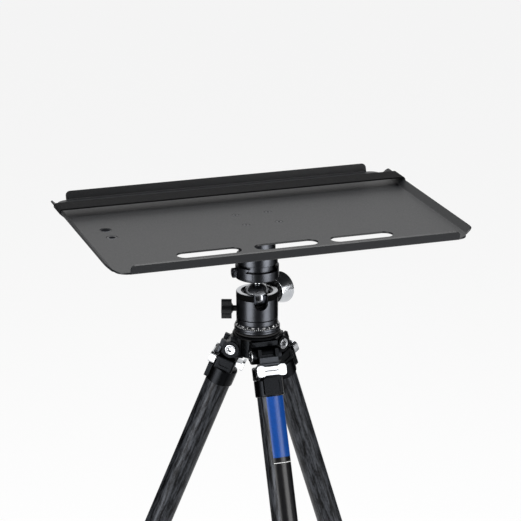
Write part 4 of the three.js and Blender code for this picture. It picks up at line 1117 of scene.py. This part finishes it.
class TETHER_OT_knobs(bpy.types.Operator):
    """Shape the main lock knob and the star knob of the panning base"""
    bl_idname = "tether.knobs"
    bl_label = "Knobs"

    def execute(self, context):
        looks = finishes()
        profile = [
            (0, 17), (4.2, 17), (4.2, 23.05), (7.8, 23.05), (7.8, 28.2), (12.4, 28.2), (13.4, 28.5),
            (14.0, 29.2), (17.8, 42.9), (17.9, 43.6), (17.4, 44.15), (16.6, 44.25), (12, 44.25),
            (11.3, 43.6), (10.9, 41.9), (10.4, 41.75), (0, 41.75),
        ]
        cone = turned("main_knob_cone", profile, 112)
        soften(cone, 0.12, 2)
        moved(cone, facing(*MAIN_KNOB))
        fit(cone, "main_knob", "silver_alloy", looks["polished"], "main_knob")
        ribs, crest, root = 16, 12.6, 11.3
        outline = []
        for i in range(ribs):
            middle = 360 * i / ribs
            outline += arc(crest, middle - 5.5, middle + 5.5, 3) + arc(root, middle + 9, middle + 13.5, 2)
        dial = prism("main_knob_dial", outline, 24.25, 28.1)
        cut(dial, rod("core", 7.85, 20, 40, 48))
        soften(dial, 0.35, 2)
        moved(dial, facing(*MAIN_KNOB))
        fit(dial, "main_knob", "black_plastic", looks["plastic"], "main_knob")

        star = prism("pan_knob_moulded", lobed(11.4, 5, 0.26, 90), 27.6, 38.7)
        dish = turned("dish", [(0, 38.0), (5.6, 38.0), (6.2, 40), (0, 40)], 48)
        cut(star, dish)
        neck = turned(
            "neck", [(0, 19), (3.2, 19), (3.2, 25.9), (4.2, 26.4), (6.4, 27.7), (6.4, 29), (0, 29)], 48,
        )
        fused(star, neck)
        soften(star, 1.0, 4)
        moved(star, facing(*PAN_KNOB))
        fit(star, "pan_knob", "black_plastic", looks["plastic"], "pan_knob")
        return {"FINISHED"}


class TETHER_OT_base(bpy.types.Operator):
    """Turn the panning base with its engraved scale and the plate under it"""
    bl_idname = "tether.base"
    bl_label = "Panning base"

    def execute(self, context):
        looks = finishes()
        profile = [
            (0, -17.4), (14.6, -17.4), (14.6, -11.4), (18, -11.4), (18, -23.3), (22.2, -23.3), (22.6, -23.7),
            (22.6, -28.2), (22.2, -28.5), (22.2, -28.9), (22.6, -29.0), (24.7, -32.4), (24.85, -32.8),
            (24.85, -34.2), (24.4, -34.5), (24.4, -35.0), (24.85, -35.3), (24.85, -36.8), (24.4, -37.3),
            (STUD_RADIUS, -37.3), (STUD_RADIUS, -26.1), (0, -26.1),
        ]
        base = moved(turned("pan_base_turned", profile, 128), HEAD)
        soften(base, 0.12, 2)
        fit(base, "tripod", "black_anodised", looks["anodised"], "pan_base")
        ring = [
            (STUD_RADIUS, -40.1), (24.2, -40.1), (25, -39.5), (25, -38.2), (24.2, -37.6),
            (STUD_RADIUS, -37.6), (STUD_RADIUS, -40.1),
        ]
        plate = moved(turned("top_plate_moulded", ring, 96), HEAD)
        soften(plate, 0.15, 2)
        fit(plate, "tripod", "grip_rubber", looks["rubber"], "top_plate")

        # The scale: a fine line every 5 degrees on the sloping ring, a number every 30, and a long line
        # half way between each two numbers.
        slope = math.atan2(3.4, 2.1)
        on_slope = Matrix.Translation((23.65 * MM, 0, -30.7 * MM)) @ Matrix.Rotation(slope, 4, "Y")
        short = repeated(moved(block("tick", (0.6, -0.12, -0.03), (1.6, 0.12, 0.06)), on_slope), 72)
        long_mark = moved(block("long_tick", (-1.4, -0.16, -0.03), (0.2, 0.16, 0.07)), on_slope)
        between = Matrix.Rotation(math.radians(15), 4, "Z")
        scale = named("pan_scale_lines", joined(short, repeated(moved(long_mark, between), 12)))
        moved(scale, HEAD)
        fit(scale, "tripod", "black_anodised", looks["ink"])
        deselect()
        lay = Matrix(((0, -1, 0, 0), (1, 0, 0, 0), (0, 0, 1, 0), (0, 0, 0, 1)))
        lift = Matrix.Translation((-0.7 * MM, 0, 0.03 * MM))
        digits = []
        for i in range(12):
            bpy.ops.object.text_add()
            text = bpy.context.object
            text.data.body = str(30 * i)
            text.data.align_x = "CENTER"
            text.data.align_y = "CENTER"
            text.data.size = 2.0 * MM
            text.data.extrude = 0.03 * MM
            bpy.ops.object.convert(target="MESH")
            place = Matrix.Rotation(math.radians(30 * i), 4, "Z") @ on_slope @ lift @ lay
            digits.append(moved(bpy.context.object, place))
        numbers = named("pan_scale_numbers", joined(*digits))
        moved(numbers, HEAD)
        fit(numbers, "tripod", "black_anodised", looks["ink"])
        return {"FINISHED"}


# Tripod
def hub_frame(side):
    """A hinge's own directions: X outwards from the tripod axis, Z up."""
    fold = JOINTS[f"leg_fold_{side}"]
    across = -Vector(fold["axis"])
    turn = Matrix((across.cross(UP), across, UP)).transposed().to_4x4()
    return Matrix.Translation(fold["pos_m"]) @ turn


class TETHER_OT_hub(bpy.types.Operator):
    """Mill the hub that carries the three legs"""
    bl_idname = "tether.hub"
    bl_label = "Hub"

    def execute(self, context):
        looks = finishes()
        centre = Matrix.Translation((BALL.x, BALL.y, JOINTS["leg_fold_front"]["pos_m"][2]))
        flange = [
            (0, -7), (21, -7), (21, 14.4), (24.9, 14.4), (26.7, 16.1), (27, 16.7), (26.3, 18.0),
            (25.6, 18.6), (0, 18.6),
        ]
        hub = moved(turned("tripod_hub_milled", flange, 96), centre)
        eye, inner, top, arm_half, boss_half, slot_half = 9.5, -13.25, 14.9, 14.4, 16, 7.8
        ear = [(inner, -eye), (0, -eye)] + arc(eye, -90, 90, 28)[1:-1] + [(0, eye), (0, top), (inner, top)]
        for side in SIDES:
            place = hub_frame(side)
            arm = moved(upright(prism("arm", ear, -arm_half, arm_half)), place)
            boss = moved(crosswise(rod("boss", 9.3, -boss_half, boss_half, 72)), place)
            cam = block("cam", (0, -11.5, -2.7), (13.7, 11.5, 5.5))
            moved(cam, place @ Matrix.Rotation(-LEG_SPREAD, 4, "Y"))
            fused(hub, arm, boss, cam)
        # The room that a leg swings through, between the two ears and round the lug.
        swing_radius, below = 9.8, -53
        swing = [(-below, below), (-below, 13.7), (0.4, 13.7)] + arc(swing_radius, 88, 180, 24)
        swing.append((-swing_radius, below))
        # The bolt's hole, wide at both ends for its heads.
        hole, recess, seat = 3.3, 6.5, 13.2
        bore = [(0, -22), (recess, -22), (recess, -seat), (hole, -seat)]
        bore += [(r, -z) for r, z in reversed(bore)]
        for side in SIDES:
            place = hub_frame(side)
            cut(hub, moved(upright(prism("swing", swing, -slot_half, slot_half)), place))
            cut(hub, moved(crosswise(turned("bore", bore, 40)), place))
        stud = moved(rod("stud", STUD_RADIUS, -20, 30, 40), centre)
        cut(hub, stud, moved(rod("seat", 8.8, -20, -3.2, 48), centre))
        soften(hub, 0.5, 3)
        fit(hub, "tripod", "black_cast_alloy", looks["cast"], "tripod_hub")
        return {"FINISHED"}


class TETHER_OT_leg_castings(bpy.types.Operator):
    """Shape the leg shoulders, with their bolts and angle tabs"""
    bl_idname = "tether.leg_castings"
    bl_label = "Leg castings"

    def shoulder(self):
        """The lug between the ears, the neck that the tab slides through, and the collar over the tube."""
        body = block("shoulder", (-11, -14, -28), (11, 14, -12.4))
        soften(body, 2.2, 4)
        collar = [
            (0, -45), (15.0, -45), (15.6, -44.4), (15.6, -28.4), (15.2, -27.2), (14.0, -26.2), (12.5, -25.8),
            (0, -25.8),
        ]
        lug = crosswise(rod("lug", 9.2, -7.5, 7.5, 56))
        web = block("web", (-8.9, -7.5, -26), (9.2, 7.5, 0))
        pad = outward(prism("pad", rounded(20, 18.6, 2.6, (0, -34.5)), 8, 16.8))
        fused(body, turned("collar", collar, 96), lug, web, pad)
        recess = outward(prism("recess", rounded(14.6, 13.4, 1.6, (0, -34.7)), 16.0, 20))
        pocket = rounded(12, 6.6, 2.2, (0, -19.6))
        pockets = [upright(prism("pocket", pocket, at - 1.9, at + 1.9)) for at in (-15, 15)]
        tools = [
            rod("tube_seat", 14.3, -47, -30.7, 80),
            crosswise(rod("bore", 3.3, -9, 9, 24)),
            block("tab_hole", (-22, -6.3, -20.3), (22, 6.3, -14.2)),
        ]
        cut(body, recess, *pockets, *tools)
        return soften(body, 0.45, 3)

    def tab(self):
        """A plate with wide ends and a drawn-in middle, with its bar through the neck."""
        right = [
            (16.6, -20.6), (16.6, -14.6), (15.9, -12.6), (14.2, -11.6), (11.6, -11.4), (9.2, -12.0),
            (7.2, -13.2),
        ]
        low = [(-7, -22.4), (-9, -23.3), (-12, -23.8), (-14.6, -23.5), (-16.1, -22.4), (-16.6, -20.6)]
        outline = right + [(-x, z) for x, z in reversed(right)][:-1] + list(reversed(low))
        outline += [(-x, z) for x, z in low][:-1]
        plate = outward(prism("tab", outline, 11.3, 18.2))
        cut(plate, block("hollow", (0, -14.3, -40), (14.6, 14.3, 0)))
        bar = block("bar", (-18.6, -6, -20), (17.2, 6, -14.5))
        back = outward(prism("back", rounded(12.8, 11.2, 2, (0, -16.8)), -19.9, -17.3))
        fused(plate, bar, back)
        cut(plate, block("groove", (17.5, -8, -18.3), (20, 8, -17.1)))
        return soften(plate, 0.8, 4)

    def bolt(self):
        """A bolt across the hub, with a round head and a hexagon socket on each side."""
        half = [(3, 13.5), (6.2, 13.5), (6.2, 15.8), (5.6, 16.5), (4.7, 16.5), (4.4, 16.2), (0, 16.2)]
        profile = [(r, -z) for r, z in reversed(half)] + half
        bolt = turned("bolt", profile, 64)
        floor, past = 13.8, 18
        cut(bolt, rod("socket", 3.0, floor, past, 6), rod("socket", 3.0, -past, -floor, 6))
        return soften(crosswise(bolt), 0.2, 2)

    def execute(self, context):
        looks = finishes()
        for side in SIDES:
            place = leg_frame(side)
            shoulder = named(f"leg_shoulder_{side}_milled", moved(self.shoulder(), place))
            fit(shoulder, f"leg_{side}", "black_cast_alloy", looks["cast"], f"leg_shoulder_{side}")
            tab = named(f"angle_tab_{side}_milled", moved(self.tab(), place))
            fit(tab, f"tab_{side}", "silver_alloy", looks["silver"], f"angle_tab_{side}")
            nose = block(f"angle_tab_{side}_nose", (10.1, -10.5, -11.9), (13.2, 10.5, -3))
            ledge = block("ledge", (10.1, -10.5, -11.9), (16.6, 10.5, -9.7))
            fused(nose, ledge)
            moved(soften(nose, 0.5, 3), place)
            fit(nose, f"tab_{side}", "black_cast_alloy", looks["milled"], f"angle_tab_{side}")
            # A black strip laid at the bottom of the tab's groove: painted shade in the groove.
            groove_shade = moved(block(f"angle_tab_{side}_line", (17.45, -7.2, -18.1), (17.6, 7.2, -17.3)), place)
            fit(groove_shade, f"tab_{side}", "black_plastic", looks["decal"])
            bolt = named(f"pivot_bolt_{side}_turned", moved(self.bolt(), hub_frame(side)))
            fit(bolt, "tripod", "bright_steel", looks["steel"], f"pivot_bolt_{side}")
        return {"FINISHED"}


def leg_span(node, side):
    """Where a leg piece starts and ends along its leg, in millimetres below the hinge."""
    inward = leg_frame(side).inverted()
    along_leg = [(inward @ vertex.co).z / MM for vertex in frame["nodes"][node].data.vertices]
    return max(along_leg), min(along_leg)


class TETHER_OT_tubes(bpy.types.Operator):
    """Wind the carbon tubes of the three legs"""
    bl_idname = "tether.tubes"
    bl_label = "Carbon tubes"

    def execute(self, context):
        settings = context.scene.tether_tripod
        radii = {"upper": settings.upper / MM, "middle": settings.middle / MM, "lower": settings.lower / MM}
        bodies = {"upper": "leg", "middle": "middle", "lower": "lower"}
        for side in SIDES:
            for part, radius in radii.items():
                node = f"{part}_tube_{side}"
                top, bottom = leg_span(node, side)
                wall, edge = 1.2, 0.3
                inner = radius - wall
                profile = [
                    (inner, bottom), (radius - edge, bottom), (radius, bottom + edge), (radius, top - edge),
                    (radius - edge, top), (inner, top), (inner, bottom),
                ]
                obj = turned(f"{node}_wound", profile, 64)
                wrap(obj)
                soften(obj, 0)
                moved(obj, leg_frame(side))
                fit(obj, f"{bodies[part]}_{side}", "carbon_tube", finishes()["carbon"], node)
        return {"FINISHED"}


def film(name, start, end, low, high):
    """A thin printed film wrapped on the front leg's upper tube, between two angles and two distances."""
    reach, thickness = 14.12, 0.1
    outer = draw(name, [(x, y, -end) for x, y in arc(reach, low, high, 40)])
    bpy.ops.mesh.extrude_region_move(TRANSFORM_OT_translate={"value": (0, 0, (end - start) * MM)})
    bpy.ops.mesh.select_all(action="SELECT")
    bpy.ops.mesh.normals_make_consistent(inside=False)
    bpy.ops.object.mode_set(mode="OBJECT")
    face_towards(outer, Vector((1, 0, 0)))
    modify(outer, "SOLIDIFY", thickness=thickness * MM, offset=-1)
    soften(outer, 0)
    return moved(outer, leg_frame("front"))


class TETHER_OT_films(bpy.types.Operator):
    """Wrap the plain blue band and the bare black label on the front leg"""
    bl_idname = "tether.films"
    bl_label = "Printed films"

    def execute(self, context):
        looks = finishes()
        label_angles = (-35, 95)
        # Where each film starts and ends, in millimetres below the leg's hinge.
        for name, look, start, end in (
            ("front_leg_band", "band", 45.4, 111),
            ("front_leg_band_edge", "decal", 111.05, 116.6),
            ("front_leg_line", "ink", 116.65, 117.1),
            ("front_leg_label", "decal", 117.15, 196),
        ):
            slot = "black_plastic" if look == "decal" else "silver_alloy"
            fit(film(name, start, end, *label_angles), "leg_front", slot, looks[look])
        return {"FINISHED"}


class TETHER_OT_locks(bpy.types.Operator):
    """Mould the twist locks and the feet"""
    bl_idname = "tether.locks"
    bl_label = "Twist locks and feet"

    def lock(self, name, outer, inner, start):
        """A sleeve with a grooved grip over the outer tube, drawn in to the inner one."""
        wide, narrow = outer + 4, inner + 3.1
        grip, seat, length, grooves, groove_depth = 36, 24.3, 50, 6, 0.6
        profile = [(outer + TRIM, 0), (wide - 1.2, 0), (wide - 0.4, 0.5), (wide, 1.6)]
        for i in range(1, grooves + 1):
            at, low = grip * i / (grooves + 1), wide - groove_depth
            profile += [(wide, at - 0.9), (low, at - 0.5), (low, at + 0.5), (wide, at + 0.9)]
        profile += [
            (wide, grip - 0.6), (wide - 0.5, grip), (narrow + 0.4, 47.2), (narrow, 48.4),
            (narrow - 0.5, 49.6), (narrow - 0.9, length), (inner + TRIM, length), (inner + TRIM, seat),
            (outer + TRIM, seat), (outer + TRIM, 0),
        ]
        obj = turned(name, [(r, -start - z) for r, z in profile], 80)
        return soften(obj, 0.15, 2)

    def foot(self, name, tube_end):
        """A rubber foot: a socket over the tube with a round sole."""
        sole, cup, wide, height, edge = 14, 11.3, 13.3, 18, 0.4
        centre = tube_end + 8
        profile = [(0, -tube_end - TRIM), (cup, -tube_end - TRIM), (cup, height - tube_end)]
        profile += [(wide - edge, height - tube_end), (wide, height - edge - tube_end), (wide, 13 - centre)]
        profile += [(r, z - centre) for r, z in arc(sole, 20.5, -89, 24)] + [(0, -centre - sole)]
        return soften(turned(name, profile, 72), 0.1, 2)

    def execute(self, context):
        looks = finishes()
        tripod = context.scene.tether_tripod
        sizes = {
            "upper_lock": (tripod.upper / MM, tripod.middle / MM),
            "lower_lock": (tripod.middle / MM, tripod.lower / MM),
        }
        for side in SIDES:
            place = leg_frame(side)
            for part, (outer, inner) in sizes.items():
                start = -leg_span(f"{part}_{side}", side)[0]
                obj = moved(self.lock(f"{part}_{side}_moulded", outer, inner, start), place)
                fit(obj, f"{part}_{side}", "grip_rubber", looks["rubber"], f"{part}_{side}")
            end = -leg_span(f"lower_tube_{side}", side)[1]
            foot = moved(self.foot(f"foot_{side}_moulded", end), place)
            fit(foot, f"lower_{side}", "grip_rubber", looks["rubber"], f"foot_{side}")
        return {"FINISHED"}


class TETHER_OT_hidden(bpy.types.Operator):
    """Give the inner pieces their finishes"""
    bl_idname = "tether.hidden"
    bl_label = "Inner pieces"

    def execute(self, context):
        looks = finishes()
        for node, look in (("ball_cup", "plastic"), ("head_stud", "steel"), ("plate_bolt", "steel")):
            mesh = frame["nodes"][node].data
            mesh.materials.clear()
            mesh.materials.append(looks[look])
        return {"FINISHED"}


# Stage
def seen_rays(tree):
    """One for the rays that meet plain white: the camera's, and those of reflections and of clear pieces."""
    ray = add(tree, "ShaderNodeLightPath").outputs
    seen = add(
        tree, "ShaderNodeMath", {"operation": "MAXIMUM"},
        {0: ray["Is Camera Ray"], 1: ray["Is Glossy Ray"]},
    )
    clear = {0: seen.outputs[0], 1: ray["Is Transmission Ray"]}
    return add(tree, "ShaderNodeMath", {"operation": "MAXIMUM"}, clear).outputs[0]


def stage_material(name, code, own):
    """A pale surface that is white to the camera and in reflections, and still takes the object's shadow."""
    material, tree = start_material(name)
    share = add(tree, "ShaderNodeMath", {"operation": "MULTIPLY", 1: own}, {0: seen_rays(tree)})
    lit = add(tree, "ShaderNodeBsdfDiffuse", {"Color": linear(code)})
    white = add(tree, "ShaderNodeEmission", {"Color": (1, 1, 1, 1), "Strength": 1.0})
    both = add(
        tree, "ShaderNodeMixShader", (), {0: share.outputs[0], 1: lit.outputs[0], 2: white.outputs[0]},
    )
    add(tree, "ShaderNodeOutputMaterial", (), {"Surface": both.outputs[0]})
    return material


def area_light(name, place, target, size, power):
    """A rectangular light at a place in metres, turned to its target and hidden from the camera."""
    deselect()
    bpy.ops.object.light_add(type="AREA", location=place)
    lamp = bpy.context.object
    lamp.name = name
    lamp.data.shape = "RECTANGLE"
    lamp.data.size, lamp.data.size_y = size
    lamp.data.energy = power
    lamp.rotation_euler = (Vector(target) - Vector(place)).to_track_quat("-Z", "Y").to_euler()
    lamp.visible_camera = False
    return lamp


class TETHER_OT_stage(bpy.types.Operator):
    """Lay the floor, hang the lights and set the camera"""
    bl_idname = "tether.stage"
    bl_label = "Stage"

    def execute(self, context):
        settings = context.scene.tether_stage
        deselect()
        bpy.ops.mesh.primitive_plane_add(size=30, location=(0, 0, -0.0005))
        floor = named("floor")
        bpy.ops.object.transform_apply()
        floor.data.materials.append(stage_material("pale_floor", "#F2F2F2", 0.85))

        world = bpy.data.worlds.new("white_studio")
        context.scene.world = world
        world.use_nodes = True
        tree = world.node_tree
        tree.nodes.clear()
        strength = add(
            tree, "ShaderNodeMapRange", {"To Min": 0.4, "To Max": 1.0}, {"Value": seen_rays(tree)},
        )
        sky = add(tree, "ShaderNodeBackground", {"Color": (1, 1, 1, 1)}, {"Strength": strength.outputs[0]})
        add(tree, "ShaderNodeOutputWorld", (), {"Surface": sky.outputs[0]})

        # Dark cloths that only reflections see keep polished and anodised metal from going flat.
        matte, cloth = start_material("black_studio_cloth")
        weave = add(cloth, "ShaderNodeTexNoise", {"Scale": 40.0})
        tint = add(
            cloth, "ShaderNodeMix", {"data_type": "RGBA", 6: linear("#0A0A0A"), 7: linear("#141414")},
            {0: weave.outputs[0]},
        )
        flat = add(cloth, "ShaderNodeBsdfDiffuse", (), {"Color": tint.outputs[2]})
        add(cloth, "ShaderNodeOutputMaterial", (), {"Surface": flat.outputs[0]})
        # Where each cloth starts and ends round the head in degrees, and its foot and top in millimetres.
        cloth_reach = 1250
        for name, start, end, low, high in (
            ("left_cloth", 96, 188, 30, 1160),
            ("front_cloth", 236, 284, 30, 1160),
            ("right_cloth", 325, 352, 640, 1500),
            ("back_cloth", 352, 405, 30, 1160),
        ):
            ring = draw(name, [(x, y, low) for x, y in arc(cloth_reach, start, end, 24)])
            bpy.ops.mesh.extrude_region_move(TRANSFORM_OT_translate={"value": (0, 0, (high - low) * MM)})
            bpy.ops.object.mode_set(mode="OBJECT")
            moved(ring, Matrix.Translation((BALL.x, BALL.y, 0)))
            ring.data.materials.append(matte)
            ring.visible_camera = False
            ring.visible_diffuse = False
            ring.visible_shadow = False

        # Two wide softboxes, left and right of the camera, and one above, behind the tray; places in metres.
        reach, height, side_share, top_share = 2.0, 0.72, 0.85, 0.7
        for name, azimuth in (("left_softbox", 211), ("right_softbox", 305)):
            turn = math.radians(azimuth)
            place = (BALL.x + reach * math.cos(turn), BALL.y + reach * math.sin(turn), height)
            area_light(name, place, (BALL.x, BALL.y, height), (1.25, 1.4), settings.key * side_share)
        area_light("top_softbox", (0.2, 0.9, 2.6), (0, 0, TRAY_TOP), (1.6, 1.2), settings.key * top_share)

        # The photograph's view: how far the camera stands from the head in metres, and its two angles.
        eye = Vector((BALL.x, BALL.y, TRAY_TOP)) + Vector((-0.7030, -2.0980, 0.68855))
        down, aside = math.radians(18.40), math.radians(18.62)
        deselect()
        bpy.ops.object.camera_add(location=eye, rotation=(math.pi / 2 - down, 0, -aside))
        camera = bpy.context.object
        camera.name = "photo_view"
        camera.data.sensor_width = 36
        camera.data.lens = settings.lens
        camera.data.clip_end = 60
        context.scene.camera = camera
        context.scene.view_settings.view_transform = "Standard"
        return {"FINISHED"}


OPERATORS = (
    TETHER_OT_stage,
    TETHER_OT_tray,
    TETHER_OT_tray_fittings,
    TETHER_OT_strap,
    TETHER_OT_column,
    TETHER_OT_clamp,
    TETHER_OT_ball,
    TETHER_OT_housing,
    TETHER_OT_knobs,
    TETHER_OT_base,
    TETHER_OT_hub,
    TETHER_OT_leg_castings,
    TETHER_OT_tubes,
    TETHER_OT_films,
    TETHER_OT_locks,
    TETHER_OT_hidden,
)


class TETHER_PT_panel(bpy.types.Panel):
    """Lists the steps that build the tethering table"""
    bl_idname = "TETHER_PT_panel"
    bl_label = "Tethering Table"
    bl_space_type = "VIEW_3D"
    bl_region_type = "UI"
    bl_category = "Tethering Table"

    def draw(self, context):
        scene = context.scene
        for settings in (scene.tether_tray, scene.tether_head, scene.tether_tripod, scene.tether_stage):
            box = self.layout.box()
            for name in settings.__annotations__:
                box.prop(settings, name)
        for operator in OPERATORS:
            self.layout.operator(operator.bl_idname)


CLASSES = (TraySettings, HeadSettings, TripodSettings, StageSettings, *OPERATORS, TETHER_PT_panel)


def register():
    """Registers the classes and hangs the settings on the scene."""
    for cls in CLASSES:
        bpy.utils.register_class(cls)
    bpy.types.Scene.tether_tray = bpy.props.PointerProperty(type=TraySettings)
    bpy.types.Scene.tether_head = bpy.props.PointerProperty(type=HeadSettings)
    bpy.types.Scene.tether_tripod = bpy.props.PointerProperty(type=TripodSettings)
    bpy.types.Scene.tether_stage = bpy.props.PointerProperty(type=StageSettings)


def unregister():
    """Takes the settings and the classes away again."""
    for name in ("tether_tray", "tether_head", "tether_tripod", "tether_stage"):
        delattr(bpy.types.Scene, name)
    for cls in reversed(CLASSES):
        bpy.utils.unregister_class(cls)


def main():
    """Builds the whole table."""
    register()
    for operator in OPERATORS:
        getattr(bpy.ops.tether, operator.bl_idname.split(".")[1])()
    bpy.context.view_layer.update()


if __name__ == "__main__":
    main()
